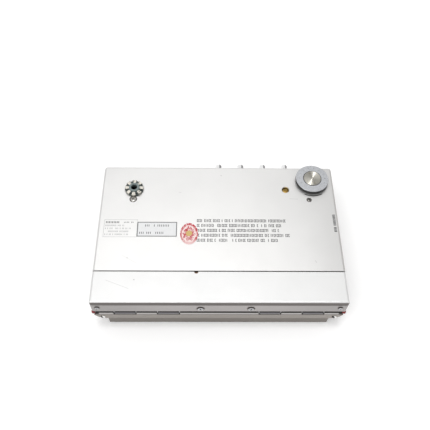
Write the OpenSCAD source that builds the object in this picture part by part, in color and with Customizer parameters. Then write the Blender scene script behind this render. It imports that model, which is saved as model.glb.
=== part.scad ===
// Portable cassette player, lying on its cassette door with its back up.
// Millimetres. X runs along the body, Y away from the battery end, Z up from the rest face.
// The door is the fixed half: the housing swings up from it about the hinge on the near edge.

/* [Body] */
// Length of the body along X
body_w = 133.5; // [130:0.5:142]
// Depth of the body along Y, without the keys and the screw heads
body_d = 87; // [86:0.5:94]
// Height from the rest face to the back
body_h = 30; // [29.5:0.5:33]
// Sheet metal of the back cover and the battery lid
sheet_t = 1; // [0.8:0.1:1.2]
// Fold radius on the top edges
fold_r = 1.2; // [0.8:0.1:1.6]
// Plan radius of the two far corners
corner_r = 3; // [2:0.5:4]
// Air between the housing and the door rim
split_gap = 0.5; // [0.3:0.1:0.8]

/* [Battery end] */
// Depth of the battery lid, up to the middle of its seam
lid_d = 18.2; // [18:0.1:20]
// Height of the folded lip round the lid
lid_lip = 2.6; // [2.2:0.1:3]
// Width of the seam between the lid and the back cover
seam_gap = 0.6; // [0.4:0.1:0.8]
// Width of the nail notch at the seam
notch_w = 2; // [1.6:0.1:3]
// Place of the nail notch along the seam
notch_x = -12.2; // [-30:0.1:30]
// Thickness of the front frame
frame_t = 1.2; // [1:0.1:1.4]
// Diameter of one battery cell
cell_d = 14.5; // [14:0.1:14.6]
// Length of one battery cell
cell_l = 50.5; // [49:0.1:51]
// Turns of the battery spring
spring_turns = 5; // [3:1:7]

/* [Hinge] */
// Radius of the door knuckles
knuckle_r = 1.7; // [1.5:0.05:1.8]
// Reach of the door knuckles past the near wall
barrel_out = 0.5; // [0:0.1:0.6]
// Radius of the hinge pin
pin_r = 0.75; // [0.6:0.05:0.9]
// Length of one frame knuckle
knuckle_w = 11.5; // [9:0.5:13]
// Middle of the inner pair of frame knuckles, from the centre
knuckle_x1 = 26.7; // [24:0.1:28]
// Middle of the outer pair of frame knuckles, from the centre
knuckle_x2 = 49.5; // [48:0.1:51]
// Length of a red pin cap
pin_cap_l = 1.7; // [1:0.1:1.75]
// Radius of a red pin cap
pin_cap_r = 1.2; // [1:0.05:1.4]
// Thickness of the two hinge leaves
leaf_t = 0.8; // [0.6:0.1:1]

/* [Door] */
// Wall of the door shell
door_t = 1.2; // [1:0.1:1.4]
// Height of the door rim
rim_h = 19.2; // [18.8:0.1:19.6]
// Height of the shoulder where the raised panel meets the rim
shoulder_z = 10.5; // [9:0.5:11]
// Radius of the shoulder at the two ends
shoulder_r = 6.5; // [5:0.5:7]
// Set-back of the raised panel at the two ends
side_inset = 7; // [6:0.5:7.5]
// Set-back of the raised panel at the hinge
near_inset = 1.6; // [1:0.1:2]
// Edge radius of the raised panel
panel_r = 1.6; // [1:0.1:2]
// Length of the door window
window_w = 52; // [44:1:60]
// Depth of the door window
window_d = 24; // [20:1:30]

/* [Cassette] */
// Length of a cassette
cassette_w = 100.4; // [100:0.1:101]
// Depth of a cassette
cassette_d = 63.8; // [63.5:0.1:64]
// Thickness of a cassette
cassette_t = 12; // [11.8:0.1:12.2]
// Right end of the body to the middle of the cassette
cassette_from_right = 58.75; // [58.5:0.05:60]
// Far wall to the open edge of the cassette
edge_back = 9.7; // [9.5:0.1:10.5]
// Distance between the two spindles
hub_pitch = 42.5; // [42:0.1:43]
// Open edge of the cassette to the spindles
hub_back = 29.5; // [29:0.1:30]
// Middle of the cassette to the capstan
capstan_dx = 24; // [23:0.1:24.5]
// Open edge of the cassette to the capstan
capstan_back = 8; // [7.5:0.1:8.5]

/* [Mechanism] */
// Thickness of the deck plate
deck_t = 1.2; // [1:0.1:1.4]
// Radius of the reel tables
table_r = 12; // [11:0.1:12.5]
// Radius of the capstan
capstan_r = 1.24; // [1:0.02:1.4]
// Radius of the flywheel
fly_r = 13.5; // [12:0.1:14]
// Share of the height under the keys that the flywheel rim takes, the rest being the reel tables'
fly_share = 0.655; // [0.6:0.005:0.68]
// Radius of the flywheel hub that drives the idler
fly_hub_r = 3.5; // [3:0.1:4]
// Radius of the pinch roller
roller_r = 3.3; // [3:0.1:3.5]
// Radius of the motor can
motor_r = 10; // [8:0.1:10.5]
// Groove radius of the motor pulley
pulley_r = 3; // [2.5:0.1:3.5]
// Thickness of the belt
belt_t = 1; // [0.8:0.1:1.2]
// Width of the tape head
head_w = 12; // [10:0.5:13]

/* [Keys] */
// Radius of a key stem
key_r = 1.8; // [1.5:0.1:2]
// Reach of a key past the far wall
key_out = 4.5; // [3.5:0.1:5.5]
// Travel of a key
key_travel = 2.5; // [1.5:0.1:2.8]
// Distance between keys
key_pitch = 13.1; // [12:0.1:13.5]
// Right end of the body to the first key
key_from_right = 66.55; // [66:0.05:68]

/* [Dial] */
// Radius of the dial ring
dial_r = 9.4; // [9:0.05:10]
// Height of the dial over the back
dial_h = 2.9; // [2.4:0.1:3.4]
// Radius of the spanner cap
cap_r = 4.95; // [4.5:0.05:5.5]
// Right end of the body to the dial
dial_from_right = 12.45; // [12:0.05:14]
// Far wall to the dial
dial_from_far = 9.95; // [9.8:0.05:11]

/* [Headphone jack] */
// Radius of the plug bore
jack_r = 1.8; // [1.75:0.01:1.9]
// Radius of the toothed ring nut
nut_r = 5.2; // [4.6:0.1:5.6]
// Height of the ring nut
nut_h = 1.6; // [1.2:0.1:2]
// Notches round the ring nut
nut_notches = 8; // [6:1:10]
// Left end of the body to the jack
jack_from_left = 18.45; // [18:0.05:20]
// Far wall to the jack
jack_from_far = 16.2; // [15.8:0.1:17]

/* [Screws and trimmer] */
// Radius of a screw head
head_r = 1.9; // [1.6:0.1:2.1]
// Radius of the small screw heads, at the ends of the band and on the right of the cover
small_r = 1.25; // [1.1:0.05:1.5]
// Height of a screw head over its surface
head_h = 0.7; // [0.4:0.1:1]
// Radius of a screw shank
shank_r = 0.95; // [0.8:0.05:1]
// Left end of the body to the left cover screw
screw_from_left = 18.3; // [18:0.1:20]
// Right end of the body to the right cover screw
screw_from_right = 15.05; // [14.5:0.05:16]
// Far wall to the two cover screws
screw_from_far = 23.1; // [22.8:0.1:24]
// Radius of the trimmer hole
trim_hole_r = 2.05; // [1.8:0.05:2.3]
// Right end of the body to the trimmer hole
trim_from_right = 28.15; // [27:0.05:30]
// Far wall to the trimmer hole
trim_from_far = 16.25; // [15:0.05:17]

/* [Fits] */
// Radial clearance of a shaft that turns or slides
run_gap = 0.06; // [0.03:0.01:0.09]
// Clearance between pieces that lie against each other
seat_gap = 0.1; // [0.05:0.05:0.2]
// Clearance between pieces that move past each other
pass_gap = 0.3; // [0.2:0.05:0.4]

/* [Hidden] */
$fn = 48;
eps = 0.01;
x_half = body_w / 2;
y_near = -(body_d + key_out + head_h) / 2 + head_h;
y_far = y_near + body_d;
z_roof = body_h - sheet_t;
lip_z = body_h - lid_lip;
frame_z0 = rim_h + split_gap;
frame_z1 = lip_z - pass_gap;
seam_y = y_near + lid_d;
lid_y1 = seam_y - seam_gap / 2;
cover_y0 = seam_y + seam_gap / 2;
// Hinge line
hinge_y = y_near - barrel_out + knuckle_r;
hinge_z = rim_h - knuckle_r - 0.4;
leaf_top = hinge_z - knuckle_r - pass_gap;
frame_leaf_y = y_near + frame_t;
frame_leaf_z0 = frame_z0 + 0.2;
frame_screw_z = frame_z0 + (frame_z1 - frame_z0) * 0.46;
frame_leaf_z1 = frame_screw_z + shank_r + 1.25;
// Places along the band and up it, and head radius, of each frame screw
end_screw_z = frame_screw_z + 0.9;
frame_screw_at = [
  [-x_half + 3.5, end_screw_z, small_r], [-9.8, frame_screw_z, head_r],
  [16.4, frame_screw_z, head_r], [x_half - 3.95, end_screw_z, small_r]
];
knuckles = [-knuckle_x2, -knuckle_x1, knuckle_x1, knuckle_x2];
knuckle_end = x_half - 1.75;
door_knuckles = [
  [-knuckle_end, -knuckle_x2 - knuckle_w / 2],
  [-knuckle_x2 + knuckle_w / 2, -knuckle_x1 - knuckle_w / 2],
  [-knuckle_x1 + knuckle_w / 2, knuckle_x1 - knuckle_w / 2],
  [knuckle_x1 + knuckle_w / 2, knuckle_x2 - knuckle_w / 2],
  [knuckle_x2 + knuckle_w / 2, knuckle_end]
];
// Door
rim_half = x_half - 0.4;
rim_y0 = y_near + seat_gap;
door_in_y0 = rim_y0 + door_t;
door_in_y1 = y_far - door_t;
door_in_half = rim_half - door_t;
panel_half = x_half - side_inset;
panel_y0 = y_near + near_inset;
door_screw_x = x_half - 5;
door_screw_z = shoulder_z + door_t + 0.7;
leaf_half = door_in_half - 2;
// Cassette and deck
cassette_x = x_half - cassette_from_right;
hold_h = 0.9;
cas_z0 = door_t + hold_h;
cas_z1 = cas_z0 + cassette_t;
cas_y1 = y_far - edge_back;
cas_y0 = cas_y1 - cassette_d;
hub_y = cas_y1 - hub_back;
supply_x = cassette_x - hub_pitch / 2;
takeup_x = cassette_x + hub_pitch / 2;
arm_t = 1.1;
deck_z = cas_z1 + arm_t + 2 * pass_gap;
deck_top = deck_z + deck_t;
deck_half = door_in_half - 0.6;
deck_y1 = door_in_y1 - 0.9;
slide_z0 = deck_z - pass_gap - arm_t;
slide_z1 = deck_z - pass_gap;
pin_x = 31;
pin_back = 6.5;
catch_x = [-x_half + 34.75, x_half - 14.75];
// Battery
cell_r = cell_d / 2;
trough_r = cell_r + 0.3;
tray_r = trough_r + 0.65;
batt_z = z_roof - 0.15 - cell_r;
hinge_clear = 0.263;
hinge_reach = tray_r + knuckle_r + hinge_clear;
past_hinge = hinge_y + sqrt(hinge_reach * hinge_reach - (batt_z - hinge_z) * (batt_z - hinge_z));
past_leaf = frame_leaf_y + leaf_t + 0.9 + tray_r;
batt_y = max(past_hinge, past_leaf);
tray_top = z_roof - 1.1;
tongue_z0 = tray_top + 0.2;
tray_x0 = -cell_l - 4.2;
tray_x1 = cell_l + 0.8;
tray_half = x_half - frame_t;
deck_y0 = batt_y + tray_r + seat_gap;
spring_wire = 0.4;
spring_r0 = 4.6;
spring_r1 = 2.6;
spring_l = 4;
// Capstan drive, in the height between the deck and the guide plate of the keys
cap_x = cassette_x + capstan_dx;
cap_y = cas_y1 - capstan_back;
key_z = z_roof - key_r - 1;
guide_z = key_z - key_r - 0.6;
low_z = deck_top + pass_gap;
web_gap = 0.4;
drive_room = guide_z - pass_gap - web_gap - low_z;
fly_h = drive_room * fly_share;
low_h = drive_room - fly_h;
fly_z = low_z + low_h + web_gap;
fly_top = fly_z + fly_h;
groove_r = fly_r - 0.9;
belt_z = fly_z + fly_h / 2;
web_z0 = fly_z + fly_h * 0.16;
web_z1 = fly_top - fly_h * 0.21;
groove_h = fly_h * 0.37;
lip_h = fly_h * 0.05;
belt_w = groove_h - 0.2;
bridge_z = fly_top + pass_gap;
bridge_t = 0.8;
fly_span = fly_r + 2.5;
motor_x = -x_half + motor_r + 6.75;
motor_y = hub_y - 2.3;
motor_z0 = shoulder_z + door_t + 1.9;
motor_z1 = belt_z - groove_h / 2 - 0.4;
drive_dx = cap_x - takeup_x;
drive_dy = cap_y - hub_y;
drive_d = sqrt(drive_dx * drive_dx + drive_dy * drive_dy);
idler_r = (drive_d - table_r - fly_hub_r) / 2 - run_gap;
idler_at = table_r + idler_r + run_gap;
idler_x = takeup_x + drive_dx * idler_at / drive_d;
idler_y = hub_y + drive_dy * idler_at / drive_d;
// Pinch arm: rest place, contact place and the swing between them
pivot_x = cap_x + 18;
pivot_y = y_far - 7;
contact_dy = cap_y + capstan_r + roller_r + seat_gap - pivot_y;
arm_l = sqrt(18 * 18 + contact_dy * contact_dy);
roller_rest_y = cas_y1 + roller_r + seat_gap;
arm_rest = 180 - asin((roller_rest_y - pivot_y) / arm_l);
arm_play = 180 - asin(contact_dy / arm_l);
roller_x = pivot_x + arm_l * cos(arm_rest);
roller_y = pivot_y + arm_l * sin(arm_rest);
// Keys
collar_r = key_r + 0.8;
collar_y1 = y_far - sheet_t - seat_gap;
collar_y0 = collar_y1 - 1;
stop_y1 = y_far - 6.3;
stop_y0 = stop_y1 - 1;
stem_y0 = stop_y0 - 0.7;
key_x0 = x_half - key_from_right;
play_x = key_x0 + key_pitch;
tab_y1 = door_in_y1 - 0.3;
tab_y0 = collar_y0;
bridge_y1 = tab_y0 - pass_gap;
bridge_y0 = cas_y1 + 1.2;
guide_y = bridge_y0 + 1.9;
// Board
board_z = bridge_z + bridge_t + 0.4;
board_t = 1.2;
board_top = board_z + board_t;
board_y1 = stem_y0 - key_travel - 2;
board_x0 = motor_x + motor_r;
board_x1 = cap_x + 12;
board_posts = [[board_x0 + 4, deck_y0 + 7], [cassette_x + 32, deck_y0 + 7], [cassette_x - 6, cap_y - 6]];
// Back panel places
dial_x = x_half - dial_from_right;
dial_y = y_far - dial_from_far;
dial_z0 = body_h + 0.7;
dial_top = body_h + dial_h;
pot_r = 8;
pot_z = board_z + 0.1;
jack_x = -x_half + jack_from_left;
jack_y = y_far - jack_from_far;
jack_z0 = deck_top + 1.6;
bush_r = 2.95;
bush_top = body_h + nut_h + 0.5;
screw_lx = -x_half + screw_from_left;
screw_rx = x_half - screw_from_right;
screw_y = y_far - screw_from_far;
// Place along X and head radius of each cover screw
cover_screw_at = [[screw_lx, head_r], [screw_rx, small_r]];
trim_x = x_half - trim_from_right;
trim_y = y_far - trim_from_far;

echo(overall_depth = body_d + key_out + head_h);
echo(hinge_axis = [hinge_y, hinge_z]);
echo(dial_axis = [dial_x, dial_y], jack_axis = [jack_x, jack_y], jack_wall = bush_top - jack_z0 - 1);
echo(flywheel_axis = [cap_x, cap_y], motor_axis = [motor_x, motor_y], idler_axis = [idler_x, idler_y]);
echo(reels = [supply_x, takeup_x, hub_y], idler_r = idler_r, groove_r = groove_r);
echo(pinch_pivot = [pivot_x, pivot_y], pinch_swing = arm_play - arm_rest, roller_axis = [roller_x, roller_y]);
echo(battery = [batt_y, batt_z, trough_r, tray_x0, tray_x1], cassette = [cas_y0, cas_y1, cas_z0, cas_z1]);
echo(deck = [deck_z, deck_top], bay_half = panel_half - door_t);

// Lay a section in X and Z along Y, between two places.
module along_y(y0, y1) {
  translate([0, y1, 0]) rotate([90, 0, 0]) linear_extrude(y1 - y0) children();
}

// Lay a section in Y and Z along X, between two places.
module along_x(x0, x1) {
  translate([x0, 0, 0]) rotate([90, 0, 90]) linear_extrude(x1 - x0) children();
}

// A cylinder along X.
module rod_x(x0, x1, y, z, r) {
  translate([x0, y, z]) rotate([0, 90, 0]) cylinder(h = x1 - x0, r = r);
}

// A cylinder along Y.
module rod_y(x, y0, y1, z, r) {
  translate([x, y1, z]) rotate([90, 0, 0]) cylinder(h = y1 - y0, r = r);
}

// A box between two corners.
module span(lo, hi) {
  translate(lo) cube(hi - lo);
}

// A section with its two lower corners rounded.
module pan_section(half, z0, z1, r) {
  difference() {
    translate([-half, z0]) square([2 * half, z1 - z0]);
    for (s = [-1, 1])
      translate([s * (half - r), z0 + r]) difference() {
        translate([s > 0 ? 0 : -r - 1, -r - 1]) square(r + 1);
        circle(r);
      }
  }
}

// A section with its two upper corners rounded.
module roof_section(half, z0, z1, r) {
  difference() {
    translate([-half, z0]) square([2 * half, z1 - z0]);
    for (s = [-1, 1])
      translate([s * (half - r), z1 - r]) difference() {
        translate([s > 0 ? 0 : -r - 1, 0]) square(r + 1);
        circle(r);
      }
  }
}

// A plan with its two corners on the far side rounded.
module far_plan(half, y0, y1, r) {
  roof_section(half, y0, y1, r);
}

// A plan with its two corners on the near side rounded.
module near_plan(half, y0, y1, r) {
  pan_section(half, y0, y1, r);
}

// The cross recess of a screw head of radius r, pointing up.
module cross_recess(r, depth) {
  for (a = [0, 90])
    rotate([0, 0, a]) translate([-0.66 * r, -0.15 * r, -depth]) cube([1.32 * r, 0.3 * r, depth + 1]);
}

// The shank of a screw whose head has radius r.
function shank_of(r) = shank_r * r / head_r;

// A pan-head screw with a head of radius r on the Z axis, with its seat at the origin.
module pan_screw(r, shank_l) {
  difference() {
    union() {
      intersection() {
        cylinder(h = head_h, r = r);
        translate([0, 0, head_h - 2.1 * r]) sphere(2.1 * r, $fn = 72);
      }
      translate([0, 0, -shank_l]) cylinder(h = shank_l + 0.1, r = shank_of(r));
    }
    translate([0, 0, head_h]) cross_recess(r, 0.5);
  }
}

// Door: raised panel, rounded shoulders, rim, window seat, notch for the hinge.
module door_shell() {
  color("silver") difference() {
    union() {
      intersection() {
        along_y(rim_y0, y_far) pan_section(rim_half, shoulder_z, rim_h, shoulder_r);
        translate([0, 0, shoulder_z]) linear_extrude(rim_h) far_plan(rim_half, rim_y0, y_far, corner_r - 0.4);
      }
      intersection() {
        along_y(panel_y0, y_far) pan_section(panel_half, 0, shoulder_z + door_t, panel_r);
        translate([0, (panel_y0 + y_far) / 2, 0]) along_x(-panel_half, panel_half)
          pan_section((y_far - panel_y0) / 2, 0, shoulder_z + door_t, panel_r);
      }
    }
    along_y(door_in_y0, door_in_y1)
      pan_section(door_in_half, shoulder_z + door_t, rim_h + 1, shoulder_r - door_t);
    span([-panel_half + door_t, panel_y0 + door_t, door_t], [panel_half - door_t, door_in_y1, rim_h]);
    span([-x_half, y_near - 1, leaf_top], [x_half, hinge_y + knuckle_r + 0.6, rim_h + 1]);
    translate([cassette_x, hub_y, 0]) window_seat(0);
    for (s = [-1, 1])
      rod_y(s * door_screw_x, y_near - 1, door_in_y0 + 1, door_screw_z, shank_r * 0.8 + 0.05);
    for (x = catch_x)
      span([x - 5, door_in_y1 - 1, slide_z0 - 1.2], [x + 5, door_in_y1 + 0.3, slide_z0 + 0.2]);
  }
}

// The stepped seat of the window, grown by a clearance that is taken off for the pane.
module window_seat(less) {
  span([-window_w / 2 + less, -window_d / 2 + less, -1], [window_w / 2 - less, window_d / 2 - less, 1]);
  span([-window_w / 2 - 2 + less, -window_d / 2 - 2 + less, door_t / 2],
       [window_w / 2 + 2 - less, window_d / 2 + 2 - less, door_t + 1]);
}

// Clear pane over the two reels.
module door_window() {
  color("slategray") intersection() {
    translate([cassette_x, hub_y, 0]) window_seat(seat_gap / 2);
    span([-x_half, y_near, 0.05], [x_half, y_far, door_t - 0.05]);
  }
}

// Door leaf: strip behind the near wall, with five knuckles.
module door_hinge_leaf() {
  color("gainsboro") difference() {
    union() {
      span([-leaf_half, door_in_y0, shoulder_z + door_t + shoulder_r * 0.3],
           [leaf_half, door_in_y0 + leaf_t, leaf_top + eps]);
      for (s = [-1, 1])
        span([s * (door_screw_x - 0.6) - 1.2, door_in_y0, door_screw_z - 0.2],
             [s * (door_screw_x - 0.6) + 1.2, door_in_y0 + leaf_t, leaf_top]);
      for (k = door_knuckles) {
        for (y = [rim_y0, door_in_y0])
          span([k[0] + pass_gap, y, leaf_top], [k[1] - pass_gap, y + leaf_t, hinge_z]);
        rod_x(k[0] + pass_gap, k[1] - pass_gap, hinge_y, hinge_z, knuckle_r);
      }
    }
    rod_x(-x_half, x_half, hinge_y, hinge_z, pin_r + 0.02);
    for (s = [-1, 1])
      rod_y(s * door_screw_x, y_near, door_in_y0 + 2, door_screw_z, shank_r * 0.8 + 0.02);
  }
}

// Pin through all the knuckles.
module hinge_pin() {
  color("dimgray") rod_x(-knuckle_end, knuckle_end, hinge_y, hinge_z, pin_r);
}

// Red lacquered caps on the two ends of the pin, rounded on the outside.
module hinge_pin_caps() {
  color("darkred") for (s = [-1, 1])
    translate([s * knuckle_end, hinge_y, hinge_z]) rotate([0, s * 90, 0]) rotate_extrude() {
      round_r = pin_cap_r - 0.3;
      square([pin_cap_r, pin_cap_l - round_r]);
      translate([0, pin_cap_l - round_r - eps]) square([0.3, round_r + eps]);
      intersection() {
        translate([0.3, pin_cap_l - round_r]) circle(round_r);
        translate([0, pin_cap_l - round_r - eps]) square(2 * round_r);
      }
    }
}

// Round-head screws that hold the door leaf.
module door_screws() {
  color("white") for (s = [-1, 1])
    translate([s * door_screw_x, rim_y0, door_screw_z]) rotate([90, 0, 0]) {
      intersection() {
        cylinder(h = head_h, r = 1.25);
        translate([0, 0, head_h - 1.9]) sphere(1.9);
      }
      translate([0, 0, -door_t - leaf_t + 0.1]) cylinder(h = door_t + leaf_t, r = shank_r * 0.8);
    }
}

// Two bowed leaf springs that press the cassette to the deck.
module cassette_springs() {
  bow_r = 40;
  bow_l = 14;
  bow_h = hold_h - 0.1;
  color("lightsteelblue") for (x = [cassette_x - 34, cassette_x + 34])
    along_x(x - 3, x + 3) intersection() {
      translate([hub_y, door_t + bow_h - bow_r]) difference() {
        circle(bow_r, $fn = 180);
        circle(bow_r - 0.25, $fn = 180);
      }
      translate([hub_y - bow_l / 2, door_t + 0.02]) square([bow_l, bow_h + 1]);
    }
}

// Back cover: folded sheet, open underneath and towards the battery end.
module back_cover() {
  color("silver") difference() {
    intersection() {
      along_y(cover_y0, y_far) roof_section(x_half, frame_z0, body_h, fold_r);
      along_x(-x_half, x_half) difference() {
        translate([cover_y0, frame_z0]) square([y_far - cover_y0, body_h - frame_z0]);
        translate([y_far - fold_r, body_h - fold_r]) difference() {
          square(fold_r + 1);
          circle(fold_r);
        }
      }
      translate([0, 0, frame_z0 - 1]) linear_extrude(body_h) far_plan(x_half, cover_y0, y_far, corner_r);
    }
    translate([0, 0, 0]) linear_extrude(z_roof)
      far_plan(x_half - sheet_t, cover_y0 - 1, y_far - sheet_t, corner_r - sheet_t);
    translate([dial_x, dial_y, z_roof - 1]) cylinder(h = 3, r = 2.6);
    translate([dial_x, dial_y, body_h - 0.4]) rotate([0, 0, -118]) rotate_extrude(angle = 58)
      translate([dial_r + 0.6, 0]) square([0.6, 1]);
    translate([jack_x, jack_y, z_roof - 1]) cylinder(h = 3, r = bush_r + 0.1);
    translate([trim_x, trim_y, z_roof - 1]) cylinder(h = 3, r = trim_hole_r);
    for (at = cover_screw_at)
      translate([at[0], screw_y, z_roof - 1]) {
        cylinder(h = 3, r = shank_of(at[1]) + 0.1);
        translate([0, 0, 1 + sheet_t - 0.4]) cylinder(h = 2, r = at[1] + 0.15);
      }
    for (i = [0:3])
      rod_y(key_x0 + i * key_pitch, y_far - 3, y_far + 1, key_z, key_r + run_gap);
  }
}

// Cross-recess screws through the cover into the deck posts.
module cover_screws() {
  color("gainsboro") for (at = cover_screw_at)
    translate([at[0], screw_y, body_h - 0.4]) pan_screw(at[1], 5);
}

// Front frame: band across the hinge end with a cheek on each side.
module front_frame() {
  color("silver") difference() {
    translate([0, 0, frame_z0]) linear_extrude(frame_z1 - frame_z0) difference() {
      near_plan(x_half, y_near, cover_y0 - 0.2, 1.2);
      near_plan(x_half - frame_t, y_near + frame_t, cover_y0 + 1, 0.4);
    }
    for (at = frame_screw_at)
      rod_y(at[0], y_near - 1, y_near + frame_t + 1, at[1], shank_of(at[2]) + 0.05);
  }
}

// Frame leaf: strip inside the band, with four knuckles between those of the door.
module frame_hinge_leaf() {
  color("gray") difference() {
    union() {
      span([-tray_half + 0.5, frame_leaf_y, frame_leaf_z0],
           [tray_half - 0.5, frame_leaf_y + leaf_t, frame_leaf_z1]);
      for (x = knuckles) {
        span([x - knuckle_w / 2 + pass_gap, frame_leaf_y, hinge_z],
             [x + knuckle_w / 2 - pass_gap, frame_leaf_y + leaf_t, frame_leaf_z0 + 1]);
        rod_x(x - knuckle_w / 2 + pass_gap, x + knuckle_w / 2 - pass_gap, hinge_y, hinge_z, knuckle_r - 0.15);
      }
    }
    rod_x(-x_half, x_half, hinge_y, hinge_z, pin_r + run_gap);
    for (at = frame_screw_at)
      rod_y(at[0], y_near, frame_leaf_y + 3, at[1], shank_of(at[2]) + 0.02);
  }
}

// Cross-recess screws through the band into the frame leaf.
module frame_screws() {
  color("gainsboro") for (at = frame_screw_at)
    translate([at[0], y_near, at[1]]) rotate([90, 0, 0]) pan_screw(at[2], frame_t + leaf_t + 0.2);
}

// Battery lid: folded on three sides, with tongues under the cover and a nail notch.
module battery_lid() {
  color("silver") difference() {
    union() {
      difference() {
        intersection() {
          along_y(y_near, lid_y1) roof_section(x_half, lip_z, body_h, fold_r);
          along_x(-x_half, x_half) difference() {
            translate([y_near, lip_z]) square([lid_y1 - y_near, lid_lip]);
            translate([y_near + fold_r, body_h - fold_r]) difference() {
              translate([-fold_r - 1, 0]) square(fold_r + 1);
              circle(fold_r);
            }
          }
          translate([0, 0, lip_z - 1]) linear_extrude(lid_lip + 2) near_plan(x_half, y_near, lid_y1, 1.2);
        }
        span([-x_half + sheet_t, y_near + sheet_t, lip_z - 1], [x_half - sheet_t, lid_y1 + 1, z_roof]);
      }
      for (s = [-1, 1]) {
        span([s * 40 - 5, lid_y1 - 3, tongue_z0], [s * 40 + 5, lid_y1 - 0.5, z_roof + 0.1]);
        span([s * 40 - 5, lid_y1 - 3, tongue_z0], [s * 40 + 5, cover_y0 + 1.6, z_roof - 0.2]);
      }
    }
    translate([notch_x, lid_y1, z_roof - 1]) cylinder(h = 3, r = notch_w / 2);
  }
}

// A U section about a cell's axis: half a circle below, straight sides up to a height.
module trough_section(r, top) {
  intersection() {
    circle(r);
    translate([-r, -r]) square([2 * r, r + eps]);
  }
  translate([-r, 0]) square([2 * r, top]);
}

// Battery tray: round trough for two cells end to end, with shelves out to the cheeks.
module battery_tray() {
  color("dimgray") difference() {
    union() {
      along_x(tray_x0 - 1.2, tray_x1 + 1.2) translate([batt_y, batt_z])
        trough_section(tray_r, tray_top - batt_z);
      span([-tray_half + 0.05, batt_y - tray_r, tray_top - 1.5],
           [tray_half - 0.05, batt_y + tray_r, tray_top]);
      for (x = [(tray_x0 - 1.2 - tray_half) / 2, (tray_x1 + 1.2 + tray_half) / 2])
        span([x - 0.5, batt_y - 1, frame_z0 + 1], [x + 0.5, batt_y + 1, tray_top - 1]);
    }
    along_x(tray_x0, tray_x1) translate([batt_y, batt_z])
      trough_section(trough_r, tray_top - batt_z + 1);
  }
}

// Points on the line of the battery spring, a cone that winds along X.
function coil_at(t) = let (r = spring_r0 + (spring_r1 - spring_r0) * t, a = 360 * spring_turns * t)
  [tray_x0 + spring_wire + 0.05 + spring_l * t, batt_y + r * cos(a), batt_z + r * sin(a)];
coil_n = spring_turns * 16;
coil_pts = [for (i = [0:coil_n]) coil_at(i / coil_n)];
coil_gap = min([for (i = [0:coil_n - 16]) norm(coil_pts[i + 16] - coil_pts[i])]) - 2 * spring_wire;
echo(battery_spring_least_gap = coil_gap);

// Wire of the battery spring: six-sided rings along the coil, closed at both ends.
module battery_spring() {
  sides = 6;
  rings = [for (i = [0:coil_n]) let (a = 360 * spring_turns * i / coil_n)
    [for (k = [0:sides - 1]) let (b = 360 * k / sides)
      coil_pts[i] + spring_wire * [sin(b), cos(b) * cos(a), cos(b) * sin(a)]]];
  skin = [for (i = [0:coil_n - 1]) for (k = [0:sides - 1]) let (n = (k + 1) % sides)
    [i * sides + k, (i + 1) * sides + k, (i + 1) * sides + n, i * sides + n]];
  first = [for (k = [0:sides - 1]) k];
  last = [for (k = [sides - 1:-1:0]) coil_n * sides + k];
  color("lightgray")
    polyhedron(points = [for (r = rings) for (p = r) p], faces = concat([first], skin, [last]));
}

// Contact plate at the other end of the trough, with its pressed dimple.
module battery_contact() {
  color("lightgray") {
    span([tray_x1 - 0.45, batt_y - 4.5, batt_z - 5], [tray_x1 - 0.05, batt_y + 4.5, batt_z + 4.5]);
    rod_x(tray_x1 - 0.75, tray_x1 - 0.4, batt_y, batt_z, 2.2);
  }
}

// Deck plate with its flange, posts, pins and openings.
module chassis() {
  color("darkgray") difference() {
    union() {
      span([-deck_half, deck_y0, deck_z], [deck_half, deck_y1, deck_top]);
      span([-x_half + 7, deck_y0, deck_z], [x_half - 7, deck_y0 + 1, deck_top + 7.5]);
      for (at = cover_screw_at)
        translate([at[0], screw_y, deck_z]) cylinder(h = z_roof - deck_z, r = 2.5);
      for (s = [-1, 1])
        translate([s * (x_half - 6), deck_y0 + 4, deck_z]) cylinder(h = z_roof - deck_z, r = 2);
      for (p = board_posts)
        translate([p[0], p[1], deck_z]) cylinder(h = board_z - deck_z, r = 1.8);
      for (s = [-1, 1])
        translate([cassette_x + s * pin_x, cas_y1 - pin_back, deck_z - 6]) {
          translate([0, 0, 2]) cylinder(h = 4 + eps, r = 2);
          cylinder(h = 2 + eps, r1 = 1, r2 = 2);
        }
      translate([pivot_x, pivot_y, slide_z0 - pass_gap - 0.4]) {
        cylinder(h = deck_z - slide_z0 + pass_gap + 0.5, r = 1.4);
        cylinder(h = 0.4, r = 2);
      }
      for (s = [-1, 1])
        translate([cassette_x - 1 + s * 7.5, guide_y, slide_z0 - pass_gap - 0.4]) {
          cylinder(h = deck_z - slide_z0 + pass_gap + 0.5, r = 0.9);
          cylinder(h = 0.4, r = 1.5);
        }
      translate([idler_x, idler_y, deck_z]) cylinder(h = deck_t + pass_gap + low_h, r = 0.9);
    }
    for (x = [supply_x, takeup_x])
      translate([x, hub_y, deck_z - 1]) cylinder(h = deck_t + 2, r = 1.8 + run_gap);
    translate([cap_x, cap_y, deck_z - 1]) cylinder(h = deck_t + 2, r = 2.9);
    translate([motor_x, motor_y, deck_z - 1]) cylinder(h = deck_t + 2, r = motor_r + seat_gap);
    span([play_x - 2.7, tab_y0 - key_travel - 0.6, deck_z - 1], [play_x + 2.7, deck_y1 + 1, deck_top + 1]);
    for (at = cover_screw_at)
      translate([at[0], screw_y, z_roof - 6]) cylinder(h = 7, r = shank_of(at[1]) + 0.02);
  }
}

// Spring clips on the far edge of the deck, each with a rounded detent.
module door_catches() {
  color("lightsteelblue") for (x = catch_x) {
    span([x - 4, deck_y1, slide_z0 - 1.4], [x + 4, deck_y1 + 0.4, deck_top]);
    rod_x(x - 3.5, x + 3.5, deck_y1 + 0.3, slide_z0 - 0.5, 0.35);
  }
}

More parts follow.
